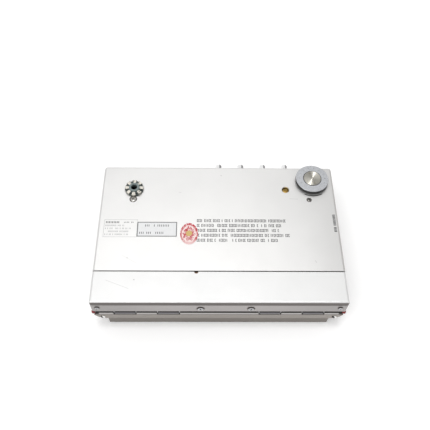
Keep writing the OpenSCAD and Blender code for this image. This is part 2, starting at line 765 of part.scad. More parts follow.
// Three-finned spindle under the deck, with the shaft that carries its reel table.
module spindle(x) {
  spindle_z = deck_z - pass_gap;
  translate([x, hub_y, 0]) {
    translate([0, 0, spindle_z - 0.1]) cylinder(h = low_z + low_h - spindle_z + 0.1, r = 1.8);
    translate([0, 0, spindle_z - 7]) cylinder(h = 7, r = 3.3);
    translate([0, 0, spindle_z - 8.5]) cylinder(h = 1.5 + eps, r1 = 1.6, r2 = 3.3);
    for (a = [0, 120, 240])
      rotate([0, 0, a]) translate([0, -0.55, spindle_z - 6.5]) cube([4.5, 1.1, 5.5]);
  }
}

// Reel table over the deck, pressed on the shaft of its spindle.
module reel_table(x) {
  translate([x, hub_y, low_z]) difference() {
    cylinder(h = low_h, r = table_r);
    translate([0, 0, -1]) cylinder(h = low_h + 2, r = 1.81);
    for (a = [30, 150, 270])
      rotate([0, 0, a]) translate([7.2, 0, -1]) cylinder(h = low_h + 2, r = 2.6);
  }
}

module takeup_spindle() {
  color("ivory") spindle(takeup_x);
}

module supply_spindle() {
  color("ivory") spindle(supply_x);
}

module takeup_table() {
  color("ivory") reel_table(takeup_x);
}

module supply_table() {
  color("ivory") reel_table(supply_x);
}

// Flywheel with a belt groove, a thinned web and the hub that drives the idler.
module flywheel() {
  color("goldenrod") translate([cap_x, cap_y, 0]) difference() {
    rotate_extrude($fn = 96) polygon([
      [capstan_r + 0.01, low_z], [fly_hub_r, low_z], [fly_hub_r, web_z0], [fly_r - 3, web_z0],
      [fly_r - 2.6, fly_z], [fly_r, fly_z], [fly_r, belt_z - groove_h / 2 - lip_h],
      [groove_r, belt_z - groove_h / 2], [groove_r, belt_z + groove_h / 2],
      [fly_r, belt_z + groove_h / 2 + lip_h], [fly_r, fly_top], [fly_r - 2.6, fly_top],
      [fly_r - 3, web_z1], [3, web_z1], [3, fly_top], [capstan_r + 0.01, fly_top]
    ]);
    for (a = [0:60:300])
      rotate([0, 0, a]) translate([7, 0, fly_z - 1]) cylinder(h = fly_h + 2, r = 1.6);
  }
}

// Capstan: ground shaft, pressed into the flywheel, with a rounded tip.
module capstan() {
  color("lightgray") translate([cap_x, cap_y, 0]) {
    translate([0, 0, cas_z0 + 2.4]) cylinder(h = fly_top + 0.1 - cas_z0 - 2.4, r = capstan_r);
    translate([0, 0, cas_z0 + 1.9]) cylinder(h = 0.5 + eps, r1 = capstan_r - 0.5, r2 = capstan_r);
  }
}

// Bearing sleeve of the capstan in the deck.
module capstan_bearing() {
  color("peru") translate([cap_x, cap_y, deck_z - pass_gap / 2]) difference() {
    cylinder(h = deck_t + pass_gap / 2 + 0.1, r = 2.88);
    translate([0, 0, -1]) cylinder(h = deck_t + 3, r = capstan_r + run_gap);
  }
}

// Bridge over the flywheel that takes the thrust of its shaft.
module flywheel_bridge() {
  color("darkgray") {
    span([cap_x - fly_span - 3, cap_y - 2.3, bridge_z],
         [cap_x + fly_span + 3, cap_y + 4, bridge_z + bridge_t]);
    for (x = [cap_x - fly_span - 3, cap_x + fly_span])
      span([x, cap_y - 2.3, deck_top], [x + 3, cap_y + 4, bridge_z + bridge_t]);
  }
}

// Loop round the motor pulley and the flywheel groove.
module loop_section(grow) {
  hull() {
    translate([cap_x, cap_y]) circle(groove_r + grow, $fn = 96);
    translate([motor_x, motor_y]) circle(pulley_r + grow, $fn = 36);
  }
}

// Flat belt from the motor pulley to the flywheel.
module drive_belt() {
  color("black") translate([0, 0, belt_z - belt_w / 2]) linear_extrude(belt_w) difference() {
    loop_section(run_gap + 0.03 + belt_t);
    loop_section(run_gap + 0.03);
  }
}

// Motor can with its flange on the deck.
module motor_can() {
  color("lightslategray") translate([motor_x, motor_y, 0]) difference() {
    union() {
      translate([0, 0, motor_z0]) cylinder(h = motor_z1 - motor_z0, r = motor_r);
      translate([0, 0, deck_top + 0.02]) cylinder(h = 1, r = motor_r + 0.9);
    }
    translate([0, 0, motor_z1 - 5]) cylinder(h = 6, r = 1 + run_gap);
  }
}

// Grooved pulley on the motor shaft.
module motor_pulley() {
  color("goldenrod") translate([motor_x, motor_y, 0]) {
    rotate_extrude() polygon([
      [0, belt_z - groove_h / 2 - 0.15], [pulley_r + 0.7, belt_z - groove_h / 2 - 0.15],
      [pulley_r + 0.7, belt_z - groove_h / 2 - 0.02], [pulley_r, belt_z - groove_h / 2],
      [pulley_r, belt_z + groove_h / 2], [pulley_r + 0.7, belt_z + groove_h / 2 + 0.02],
      [pulley_r + 0.7, belt_z + groove_h / 2 + 0.4], [0, belt_z + groove_h / 2 + 0.4]
    ]);
    translate([0, 0, motor_z1 - 4.5]) cylinder(h = 6, r = 1);
  }
}

// Idler wheel between the flywheel hub and the take-up table.
module idler_wheel() {
  color("ivory") translate([idler_x, idler_y, low_z]) difference() {
    cylinder(h = low_h, r = idler_r - 0.8);
    translate([0, 0, -1]) cylinder(h = low_h + 2, r = 0.9 + run_gap);
  }
}

// Rubber tyre on the idler wheel.
module idler_tyre() {
  color("black") translate([idler_x, idler_y, low_z + 0.2]) difference() {
    cylinder(h = low_h - 0.4, r = idler_r);
    translate([0, 0, -1]) cylinder(h = low_h + 2, r = idler_r - 0.79);
  }
}

// Sliding bridge that carries the head, guided by two slots on the deck pins.
module head_bridge() {
  color("lightgray") difference() {
    union() {
      span([cassette_x - 13, bridge_y0, slide_z0], [play_x + 3, bridge_y1, slide_z1]);
      span([cassette_x - 4, bridge_y0, slide_z0 - 1.6], [cassette_x + 4, bridge_y0 + 4, slide_z0 + eps]);
    }
    for (s = [-1, 1]) {
      span([cassette_x - 1 + s * 7.5 - 1, guide_y, slide_z0 - 3],
           [cassette_x - 1 + s * 7.5 + 1, guide_y + key_travel + 0.1, slide_z1 + 1]);
      for (y = [guide_y, guide_y + key_travel + 0.1])
        translate([cassette_x - 1 + s * 7.5, y, slide_z0 - 3]) cylinder(h = 6, r = 1);
    }
  }
}

// Tape head with its rounded face and two tape guides.
module tape_head() {
  mid_z = (cas_z0 + cas_z1) / 2;
  top_z = slide_z0 - 1.6;
  color("gray") difference() {
    union() {
      intersection() {
        span([cassette_x - head_w / 2, cas_y1 + 0.3, mid_z - 4.5],
             [cassette_x + head_w / 2, cas_y1 + 5.6, top_z]);
        translate([cassette_x, cas_y1 + 7.3, mid_z - 6]) cylinder(h = 20, r = 7, $fn = 96);
      }
      for (s = [-1, 1])
        span([cassette_x + s * (head_w / 2 + 0.8) - 0.9, cas_y1 + 1.5, mid_z - 2.6],
             [cassette_x + s * (head_w / 2 + 0.8) + 0.9, cas_y1 + 5.6, mid_z + 2.6]);
    }
    for (s = [-1, 1])
      span([cassette_x + s * (head_w / 2 + 1.2) - 1.4, cas_y1, mid_z - 1.9],
           [cassette_x + s * (head_w / 2 + 1.2) + 1.4, cas_y1 + 4, mid_z + 1.9]);
  }
}

// Pinch arm: flat bar from its pivot to the roller axle, with the axle and its end clip.
module pinch_arm() {
  color("darkgray") difference() {
    union() {
      translate([pivot_x, pivot_y, slide_z0]) {
        rotate([0, 0, arm_rest]) translate([0, -1.7, 0]) cube([arm_l, 3.4, arm_t]);
        cylinder(h = arm_t, r = 2.6);
      }
      translate([roller_x, roller_y, slide_z0]) cylinder(h = arm_t, r = 2);
      translate([roller_x, roller_y, cas_z0 + 2]) cylinder(h = slide_z0 - cas_z0 - 2 + 0.1, r = 0.8);
      translate([roller_x, roller_y, cas_z0 + 2]) cylinder(h = 0.4, r = 1.4);
    }
    translate([pivot_x, pivot_y, slide_z0 - 1]) cylinder(h = arm_t + 2, r = 1.4 + run_gap);
  }
}

// Rubber roller that presses the tape to the capstan.
module pinch_roller() {
  color("black") translate([roller_x, roller_y, cas_z0 + 2.6]) difference() {
    cylinder(h = cassette_t - 5, r = roller_r);
    translate([0, 0, -1]) cylinder(h = cassette_t, r = 0.8 + run_gap);
  }
}

// One key: stem with a domed end and the collar that stops it at the wall.
module key_stem(x) {
  rod_y(x, stem_y0, y_far + key_out - key_r * 0.6, key_z, key_r);
  intersection() {
    translate([x, y_far + key_out - key_r * 1.1, key_z]) sphere(key_r * 1.1, $fn = 64);
    rod_y(x, y_far, y_far + key_out, key_z, key_r);
  }
  rod_y(x, collar_y0, collar_y1, key_z, collar_r);
}

module rewind_key() {
  color("gray") key_stem(key_x0);
}

// The play key has a tab that reaches down to the head bridge.
module play_key() {
  color("gray") {
    key_stem(play_x);
    span([play_x - 2.2, tab_y0, slide_z0 + 0.1], [play_x + 2.2, tab_y1, key_z - 1]);
  }
}

module forward_key() {
  color("gray") key_stem(key_x0 + 2 * key_pitch);
}

module stop_key() {
  color("gray") key_stem(key_x0 + 3 * key_pitch);
}

// Guide plate of the keys, hung from the roof of the cover.
module key_bracket() {
  color("darkgray") difference() {
    union() {
      span([key_x0 - 4.5, stop_y0, guide_z], [key_x0 + 3 * key_pitch + 4.5, stop_y1, z_roof - seat_gap]);
      span([key_x0 - 4.5, stop_y0, z_roof - 0.9],
           [key_x0 + 3 * key_pitch + 4.5, collar_y0 - key_travel - 0.2, z_roof - seat_gap]);
    }
    for (i = [0:3])
      rod_y(key_x0 + i * key_pitch, stop_y0 - 1, stop_y1 + 3, key_z, key_r + run_gap);
  }
}

// Comb of leaf springs behind the four stems.
module key_springs() {
  color("lightsteelblue") {
    span([key_x0 - 4, stop_y0 - 1, z_roof - 0.5],
         [key_x0 + 3 * key_pitch + 4, stop_y0 - 0.02, z_roof - seat_gap]);
    for (i = [0:3])
      span([key_x0 + i * key_pitch - 1.5, stop_y0 - 1, key_z - 1.6],
           [key_x0 + i * key_pitch + 1.5, stop_y0 - 0.75, z_roof - 0.4]);
  }
}

// Control under the dial.
module volume_pot() {
  color("dimgray") translate([dial_x, dial_y, 0]) difference() {
    translate([0, 0, pot_z]) cylinder(h = z_roof - seat_gap - pot_z, r = pot_r);
    translate([0, 0, pot_z - 1]) cylinder(h = 8, r = 2.2 + run_gap);
  }
}

// Dial ring with a dark skirt, a recess for the cap and the shaft.
module volume_dial() {
  color("lightsteelblue") translate([dial_x, dial_y, 0]) {
    rotate_extrude($fn = 96) polygon([
      [0, pot_z + 0.6], [2.2, pot_z + 0.6], [2.2, dial_z0], [dial_r - 0.6, dial_z0],
      [dial_r - 0.6, dial_z0 + 0.8],
      [dial_r, dial_z0 + 1], [dial_r, dial_top - 0.3], [dial_r - 0.3, dial_top], [cap_r + 0.35, dial_top],
      [cap_r + 0.35, dial_top - 1.2], [0, dial_top - 1.2]
    ]);
  }
}

// Spun cap with two holes for a pin spanner.
module dial_cap() {
  color("silver") translate([dial_x, dial_y, 0]) difference() {
    rotate_extrude($fn = 96) polygon([
      [0, dial_top - 1.18], [cap_r, dial_top - 1.18], [cap_r, dial_top + 0.15],
      [cap_r - 0.2, dial_top + 0.3], [0, dial_top + 0.3]
    ]);
    for (a = [109, 289])
      rotate([0, 0, a]) translate([cap_r - 1.3, 0, dial_top - 0.7]) cylinder(h = 2, r = 0.65);
  }
}

// Jack body under the roof, with the bush that stands out of the cover.
module jack_socket() {
  color("dimgray") translate([jack_x, jack_y, 0]) difference() {
    union() {
      span([-4.5, -4, jack_z0], [4.5, 5, z_roof - seat_gap]);
      translate([0, 0, jack_z0 + 3]) cylinder(h = bush_top - jack_z0 - 3, r = bush_r);
    }
    translate([0, 0, jack_z0 + 1]) cylinder(h = body_h, r = jack_r);
  }
}

// Toothed ring nut on the jack bush.
module jack_nut() {
  color("darkslategray") translate([jack_x, jack_y, body_h + 0.02]) difference() {
    cylinder(h = nut_h, r = nut_r);
    translate([0, 0, -1]) cylinder(h = nut_h + 2, r = bush_r + 0.05);
    for (i = [0:nut_notches - 1])
      rotate([0, 0, (i + 0.5) * 360 / nut_notches])
        translate([nut_r - 1.1, -0.75, nut_h - 0.9]) cube([3, 1.5, 3]);
  }
}

// Circuit board on its three posts.
module main_board() {
  color("darkolivegreen") difference() {
    span([board_x0, deck_y0 + 3, board_z + 0.02], [board_x1, board_y1, board_top]);
    translate([jack_x, jack_y, board_z - 1]) cylinder(h = 4, r = 9);
  }
}

// Capacitors, chips and the power terminal on the board.
module board_components() {
  room = z_roof - board_top - 0.4;
  color("dimgray") {
    for (p = [[6, 6], [14, -9], [62, -12]])
      translate([board_x0 + p[0], hub_y + p[1], board_top + 0.02]) cylinder(h = room, r = 2.4);
    for (x = [22, 40, 54])
      span([board_x0 + x, hub_y - 6, board_top + 0.02],
           [board_x0 + x + 9, hub_y, board_top + room * 0.8]);
    for (i = [0:5])
      span([board_x0 + 20 + i * 6, hub_y + 6, board_top + 0.02],
           [board_x0 + 23.5 + i * 6, hub_y + 7.4, board_top + room * 0.6]);
  }
}

// Brass speed trimmer that shows through its hole in the cover.
module speed_trimmer() {
  color("goldenrod") translate([trim_x, trim_y, 0]) difference() {
    intersection() {
      translate([0, 0, board_top + 0.02]) cylinder(h = z_roof - board_top - 0.12, r = 2.9);
      translate([0, 0, z_roof - 0.1 - 8]) sphere(8, $fn = 96);
    }
    translate([-1.6, -0.3, z_roof - 0.6]) cube([3.2, 0.6, 2]);
  }
}

door_shell();
door_window();
door_hinge_leaf();
hinge_pin();
hinge_pin_caps();
door_screws();
cassette_springs();
back_cover();
cover_screws();
front_frame();
frame_hinge_leaf();
frame_screws();
battery_lid();
battery_tray();
battery_spring();
battery_contact();
chassis();
door_catches();
takeup_spindle();
supply_spindle();
takeup_table();
supply_table();
flywheel();
capstan();
capstan_bearing();
flywheel_bridge();
drive_belt();
motor_can();
motor_pulley();
idler_wheel();
idler_tyre();
head_bridge();
tape_head();
pinch_arm();
pinch_roller();
rewind_key();
play_key();
forward_key();
stop_key();
key_bracket();
key_springs();
volume_pot();
volume_dial();
dial_cap();
jack_socket();
jack_nut();
main_board();
board_components();
speed_trimmer();
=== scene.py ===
"""Looks of a portable cassette player that lies on its door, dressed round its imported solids.

Every size below is in millimetres in the part's own frame, and is turned into metres where a mesh is made.
"""
import logging
import math
from dataclasses import dataclass
from enum import Enum
from typing import Dict, List, Optional, Sequence, Tuple, Union

import bmesh
import bpy
from mathutils import Matrix, Vector
from mathutils.bvhtree import BVHTree


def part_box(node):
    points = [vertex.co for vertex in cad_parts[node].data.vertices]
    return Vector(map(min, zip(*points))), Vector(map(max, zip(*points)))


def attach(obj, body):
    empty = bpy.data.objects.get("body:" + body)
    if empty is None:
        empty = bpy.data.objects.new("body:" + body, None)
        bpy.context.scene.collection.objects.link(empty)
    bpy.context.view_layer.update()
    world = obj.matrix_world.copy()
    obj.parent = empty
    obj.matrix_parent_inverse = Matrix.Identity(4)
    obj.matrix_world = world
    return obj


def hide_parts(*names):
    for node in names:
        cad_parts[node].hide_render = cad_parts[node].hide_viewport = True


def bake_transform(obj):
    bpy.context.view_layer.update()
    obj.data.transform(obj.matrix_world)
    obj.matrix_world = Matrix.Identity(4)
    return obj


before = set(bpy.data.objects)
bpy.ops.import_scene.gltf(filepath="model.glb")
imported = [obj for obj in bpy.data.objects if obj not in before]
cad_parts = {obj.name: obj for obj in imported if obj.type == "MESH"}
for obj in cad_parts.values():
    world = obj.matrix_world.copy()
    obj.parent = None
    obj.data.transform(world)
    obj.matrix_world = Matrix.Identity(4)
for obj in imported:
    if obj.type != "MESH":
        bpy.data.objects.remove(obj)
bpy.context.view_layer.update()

LOG = logging.getLogger("cassette_player")
MM = 0.001
MICRON = 0.000001
MERGE_MM = 1e-5
SOLID_MERGE_M = 1e-7
QUARTER_TURN = math.pi / 2

Pair = Tuple[float, float]
RGB = Tuple[float, float, float]
Point = Tuple[float, float, float]
Sides = Tuple[float, float, float, float]
Socket = bpy.types.NodeSocket
Value = Union[float, int, Sequence[float], Socket]
Mesh = bpy.types.Mesh

ORIGIN: Point = (0.0, 0.0, 0.0)


class Body(Enum):
    """Bodies of the part that new pieces ride on."""

    DOOR = "door"
    HOUSING = "housing"
    DIAL = "volume_dial"
    LID = "battery_lid"
    REWIND = "rewind_key"
    PLAY = "play_key"
    FORWARD = "forward_key"
    STOP = "stop_key"


KEYS = (Body.REWIND, Body.PLAY, Body.FORWARD, Body.STOP)


class Axis(Enum):
    """An axis of the frame, as a unit direction."""

    X = (1.0, 0.0, 0.0)
    Y = (0.0, 1.0, 0.0)
    Z = (0.0, 0.0, 1.0)


class Graph:
    """Short calls that fill a node tree."""

    def __init__(self, tree: bpy.types.NodeTree) -> None:
        """Keep the tree that the calls fill."""
        self.tree = tree

    def feed(self, socket: Socket, value: Value) -> None:
        """Link a socket to another one, or set its value.

        Args:
            socket: The input to fill.
            value: A socket to link, or a plain value.
        """
        if isinstance(value, bpy.types.NodeSocket):
            self.tree.links.new(value, socket)
        elif socket.type == "RGBA" and len(value) == 3:
            socket.default_value = (*value, 1.0)
        else:
            socket.default_value = value

    def add(self, kind: str, inputs: Optional[Dict[Union[str, int], Value]] = None,
            **props: object) -> bpy.types.Node:
        """Add a node.

        Args:
            kind: The node's type name.
            inputs: Values or links by input name or number.
            **props: Properties that are set on the node first.

        Returns:
            The new node.
        """
        node = self.tree.nodes.new(kind)
        for name, value in props.items():
            setattr(node, name, value)
        for name, value in (inputs or {}).items():
            self.feed(node.inputs[name], value)
        return node

    def named(self, kind: str, **inputs: Value) -> Socket:
        """Return the first output of a new node, with underscores for spaces in its inputs' names."""
        spaced = {name.replace("_", " "): value for name, value in inputs.items()}
        return self.add(kind, spaced).outputs[0]

    def math(self, kind: str, a: Value, b: Value = 0.0) -> Socket:
        """Return the result of a math node on two values."""
        return self.add("ShaderNodeMath", {0: a, 1: b}, operation=kind).outputs[0]

    def times(self, product: Value, *others: Value) -> Socket:
        """Return the product of two or more values."""
        for other in others:
            product = self.math("MULTIPLY", product, other)
        return product

    def wave(self, kind: str, value: Value, count: float) -> Socket:
        """Return the sine or the cosine of a multiple of a value."""
        return self.math(kind, self.times(value, count))

    def vector(self, kind: str, a: Value, b: Value = ORIGIN) -> bpy.types.Node:
        """Return a vector math node on two vectors."""
        return self.add("ShaderNodeVectorMath", {0: a, 1: b}, operation=kind)

    def offset(self, place: Value, centre: Value) -> Socket:
        """Return the way from a centre to a place."""
        return self.vector("SUBTRACT", place, centre).outputs[0]

    def combine(self, x: Value = 0.0, y: Value = 0.0, z: Value = 0.0) -> Socket:
        """Return the vector of three values."""
        return self.add("ShaderNodeCombineXYZ", {0: x, 1: y, 2: z}).outputs[0]

    def split(self, vector: Value) -> Sequence[Socket]:
        """Return the three values of a vector."""
        return self.add("ShaderNodeSeparateXYZ", {0: vector}).outputs

    def ramp(self, value: Value, low: float, high: float, out_low: float = 0.0,
             out_high: float = 1.0) -> Socket:
        """Turn a span of values into another one, smoothly and clamped.

        Args:
            value: What is mapped.
            low: Where the span starts.
            high: Where it ends, which may be below its start.
            out_low: The result at the start.
            out_high: The result at the end.

        Returns:
            The mapped value.
        """
        inputs = {"Value": value, "From Min": low, "From Max": high, "To Min": out_low, "To Max": out_high}
        return self.add("ShaderNodeMapRange", inputs, interpolation_type="SMOOTHSTEP").outputs[0]

    def band(self, value: Value, inner: Pair, outer: Pair) -> Socket:
        """Return 1 between two soft edges, each given by where it is 0 and where it is 1."""
        return self.times(self.ramp(value, *inner), self.ramp(value, *outer))

    def blend(self, share: Value, first: Value, second: Value) -> Socket:
        """Return a colour between two colours, by a share of the second."""
        return self.add("ShaderNodeMix", {0: share, 6: first, 7: second}, data_type="RGBA").outputs[2]

    def noise(self, place: Value, scale: float, detail: float = 3.0, roughness: float = 0.55) -> Socket:
        """Return a noise value of about 0 to 1 at a place."""
        return self.named("ShaderNodeTexNoise", Vector=place, Scale=scale, Detail=detail, Roughness=roughness)

    def scaled(self, vector: Value, scale: Value) -> Socket:
        """Return a vector times a value."""
        return self.add("ShaderNodeVectorMath", {0: vector, "Scale": scale}, operation="SCALE").outputs[0]

    def place(self) -> Socket:
        """Return the place on the piece in millimetres of the frame."""
        return self.scaled(self.add("ShaderNodeTexCoord").outputs["Object"], 1 / MM)

    def stretch(self, place: Value, scale: Point, turn: Point = ORIGIN, shift: Point = ORIGIN) -> Socket:
        """Return a place after a shift, a turn and a scale of its axes."""
        return self.named("ShaderNodeMapping", Vector=self.offset(place, shift), Rotation=turn, Scale=scale)

    def reach(self, place: Value, way: Point) -> Socket:
        """Return how far a place lies along a direction."""
        return self.vector("DOT_PRODUCT", place, way).outputs["Value"]

    def along(self, place: Value, axis: Axis) -> Socket:
        """Return one coordinate of a place."""
        return self.reach(place, axis.value)

    def bearing(self, arm: Value) -> Socket:
        """Return the angle of a vector about Z."""
        x, y, _ = self.split(arm)
        return self.math("ARCTAN2", y, x)

    def radius(self, place: Value, centre: Point, axis: Axis = Axis.Z) -> Socket:
        """Find the distance of a place from a line.

        Args:
            place: The place.
            centre: A point of the line.
            axis: The line's direction.

        Returns:
            The distance.
        """
        flat = tuple(1.0 - x for x in axis.value)
        arm = self.vector("MULTIPLY", self.offset(place, centre), flat).outputs[0]
        return self.vector("LENGTH", arm).outputs["Value"]

    def bump(self, height: Value, microns: float) -> Socket:
        """Return a normal bent by a height, whose full depth is in microns."""
        return self.named("ShaderNodeBump", Height=height, Distance=microns * MICRON, Strength=1.0)

    def looked_at(self) -> Socket:
        """Tell the camera's rays, straight, by gloss or through glass, from other light.

        Returns:
            1 for such a ray, and 0 for other light.
        """
        path = self.add("ShaderNodeLightPath").outputs
        seen = self.math("MAXIMUM", path["Is Camera Ray"], path["Is Glossy Ray"])
        return self.math("MAXIMUM", seen, path["Is Transmission Ray"])

    def principled(self, **inputs: Value) -> Socket:
        """Return a Principled shader."""
        return self.named("ShaderNodeBsdfPrincipled", **inputs)


@dataclass(frozen=True)
class Scratch:
    """A straight hairline between two places."""

    start: Point
    end: Point
    width: float = 0.12
    depth: float = 0.5
    tone: RGB = (0.13, 0.12, 0.11)
    core: float = 0.3

    def mask(self, graph: Graph, place: Socket) -> Socket:
        """Find how much of the mark is at a place.

        Args:
            graph: The material's nodes.
            place: The place on the piece.

        Returns:
            The share, up to the mark's depth.
        """
        run = Vector(self.end) - Vector(self.start)
        unit = tuple(run.normalized())
        arm = graph.offset(place, self.start)
        reach = graph.math("MAXIMUM", graph.reach(arm, unit), 0.0)
        foot = graph.scaled(unit, graph.math("MINIMUM", reach, run.length))
        gap = graph.vector("DISTANCE", arm, foot).outputs["Value"]
        return graph.ramp(gap, self.width, self.width * self.core, 0.0, self.depth)


@dataclass(frozen=True)
class Grime:
    """A soft dark ring round a line along an axis, for grime at a screw and for painted shade in a gap round
    a head or at one side of it.
    """

    centre: Point
    inner: float
    outer: float
    depth: float = 0.6
    axis: Axis = Axis.Z
    tone: RGB = (0.10, 0.085, 0.07)

    def mask(self, graph: Graph, place: Socket) -> Socket:
        """Return how much of the ring is at a place, up to its depth."""
        arm = graph.radius(place, self.centre, self.axis)
        return graph.ramp(arm, self.outer, self.inner, 0.0, self.depth)


@dataclass(frozen=True)
class Shade:
    """A tone that comes in along an axis, for painted shade in a gap or on a face and for a painted
    highlight.
    """

    axis: Axis
    start: float
    end: float
    depth: float = 0.8
    tone: RGB = (0.03, 0.028, 0.026)

    def mask(self, graph: Graph, place: Socket) -> Socket:
        """Return how much of the tone is at a place, up to its depth."""
        return graph.ramp(graph.along(place, self.axis), self.start, self.end, 0.0, self.depth)


@dataclass(frozen=True)
class Groove:
    """Painted shade on the floor of a ring-shaped groove or bore, below the surface that it is cut in.

    A side, where one is given, keeps the shade to that side of the groove's middle.
    """

    centre: Point
    inner: float
    outer: float
    depth: float = 0.9
    tone: RGB = (0.02, 0.02, 0.02)
    side: Point = ORIGIN
    soft: float = 0.1
    sunk: Pair = (0.02, 0.2)
    side_soft: float = 1.0

    def mask(self, graph: Graph, place: Socket) -> Socket:
        """Find how much of the painted shade is at a place.

        Args:
            graph: The material's nodes.
            place: The place on the piece.

        Returns:
            The share, up to the shade's depth.
        """
        ring = graph.band(graph.radius(place, self.centre), (self.inner - self.soft, self.inner),
                          (self.outer + self.soft, self.outer))
        floor = graph.ramp(graph.along(place, Axis.Z), *(self.centre[2] - gap for gap in self.sunk))
        reach = graph.reach(graph.offset(place, self.centre), self.side)
        return graph.times(ring, floor, graph.ramp(reach, -self.side_soft, 0.0, 0.0, self.depth))


Mark = Union[Scratch, Grime, Shade, Groove]


@dataclass(frozen=True)
class Finish:
    """What a surface is made of and how it is worked."""

    name: str
    tone: RGB
    roughness: float = 0.4
    marks: Tuple[Mark, ...] = ()

    def toned(self, share: float, lift: float = 0.0) -> RGB:
        """Return a lighter or darker kind of the finish's tone."""
        return tuple(min(1.0, c * share + lift) for c in self.tone)

    def roughened(self, graph: Graph, value: Value, span: Pair, change: Pair) -> Socket:
        """Return a roughness near the finish's own, which changes as a value goes over a span."""
        return graph.ramp(value, *span, self.roughness + change[0], self.roughness + change[1])

    def marked(self, graph: Graph, place: Socket, colour: Socket) -> Socket:
        """Lay the finish's marks over a colour.

        Args:
            graph: The material's nodes.
            place: The place on the piece.
            colour: The colour below the marks.

        Returns:
            The colour with the marks on it.
        """
        for mark in self.marks:
            colour = graph.blend(mark.mask(graph, place), colour, mark.tone)
        return colour

    def material(self) -> bpy.types.Material:
        """Make the finish's material on its first use.

        Returns:
            The material.
        """
        made = bpy.data.materials.get(self.name)
        if made is None:
            made = bpy.data.materials.new(self.name)
            made.use_nodes = True
            made.node_tree.nodes.clear()
            graph = Graph(made.node_tree)
            graph.add("ShaderNodeOutputMaterial", {"Surface": self.shade(graph, graph.place())})
        return made

    def shade(self, graph: Graph, place: Socket) -> Socket:
        """Mix the finish's shader. Each kind of finish has its own way.

        Args:
            graph: The material's nodes.
            place: The place on the piece.

        Returns:
            The shader.
        """
        raise NotImplementedError


@dataclass(frozen=True)
class SatinSheet(Finish):
    """Bead-blasted and lacquered metal sheet: fine grain, faint clouding, hairlines, handling marks and
    painted shade.
    """

    clouding: float = 0.02
    grain: float = 0.05
    metallic: float = 0.9
    relief: float = 5.0

    def shade(self, graph: Graph, place: Socket) -> Socket:
        """Mix the sheet's shader.

        Args:
            graph: The material's nodes.
            place: The place on the piece.

        Returns:
            The shader.
        """
        cloud = graph.ramp(graph.noise(place, 0.03, 4.0), 0.3, 0.7)
        grain = graph.noise(place, 5.0, 2.0, 0.7)
        hair = graph.noise(graph.stretch(place, (0.05, 1.6, 1.6), (0.0, 0.0, 0.35)), 1.0, 3.0, 0.7)
        speck = self.toned(1 - 4 * self.grain)
        colour = graph.blend(cloud, self.toned(1 - self.clouding), self.toned(1 + self.clouding))
        colour = graph.blend(graph.ramp(grain, 0.56, 0.82, 0.0, 0.6), colour, speck)
        colour = graph.blend(graph.ramp(hair, 0.66, 0.8, 0.0, 0.12), colour, speck)
        rough = self.roughened(graph, graph.noise(place, 0.18, 4.0), (0.25, 0.75), (-0.02, 0.02))
        normal = graph.bump(graph.math("ADD", grain, graph.times(hair, 0.6)), self.relief)
        return graph.principled(Base_Color=self.marked(graph, place, colour), Metallic=self.metallic,
                                Roughness=rough, Normal=normal)


@dataclass(frozen=True)
class RolledSteel(Finish):
    """Rolled or drawn steel with fine lines along one axis."""

    axis: Axis = Axis.X
    stain: RGB = (0.16, 0.14, 0.12)
    stain_share: float = 0.25
    relief: float = 10.0

    def shade(self, graph: Graph, place: Socket) -> Socket:
        """Mix the steel's shader.

        Args:
            graph: The material's nodes.
            place: The place on the piece.

        Returns:
            The shader.
        """
        scale = tuple(0.06 if c else 4.0 for c in self.axis.value)
        lines = graph.noise(graph.stretch(place, scale), 1.0, 4.0, 0.65)
        spots = graph.noise(place, 0.35, 4.0, 0.7)
        colour = graph.blend(graph.ramp(lines, 0.35, 0.65), self.toned(0.72), self.tone)
        colour = graph.blend(graph.ramp(spots, 0.56, 0.8, 0.0, self.stain_share), colour, self.stain)
        rough = self.roughened(graph, lines, (0.3, 0.7), (-0.06, 0.08))
        return graph.principled(Base_Color=self.marked(graph, place, colour), Metallic=0.95, Roughness=rough,
                                Normal=graph.bump(lines, self.relief))


@dataclass(frozen=True)
class SpunMetal(Finish):
    """Metal turned on a lathe: fine rings round an axis, and a highlight that fans out from its middle."""

    centre: Point = ORIGIN
    pitch: float = 0.16
    anisotropy: float = 0.75
    relief: float = 4.0

    def shade(self, graph: Graph, place: Socket) -> Socket:
        """Mix the turned metal's shader.

        Args:
            graph: The material's nodes.
            place: The place on the piece.

        Returns:
            The shader.
        """
        arm = graph.radius(place, self.centre)
        wave = graph.wave("SINE", arm, 2 * math.pi / self.pitch)
        ring = graph.noise(graph.combine(arm), 6.0, 4.0, 0.8)
        wear = graph.noise(place, 0.9, 3.0)
        deep = self.toned(0.62)
        colour = graph.blend(graph.ramp(ring, 0.3, 0.7), deep, self.tone)
        colour = graph.blend(graph.ramp(wear, 0.6, 0.85, 0.0, 0.3), colour, deep)
        height = graph.math("ADD", graph.times(wave, 0.3), ring)
        tangent = graph.add("ShaderNodeTangent", direction_type="RADIAL", axis="Z").outputs[0]
        rough = self.roughened(graph, ring, (0.3, 0.7), (-0.04, 0.06))
        return graph.principled(Base_Color=colour, Metallic=1.0, Roughness=rough, Anisotropic=self.anisotropy,
                                Anisotropic_Rotation=0.25, Tangent=tangent,
                                Normal=graph.bump(height, self.relief))


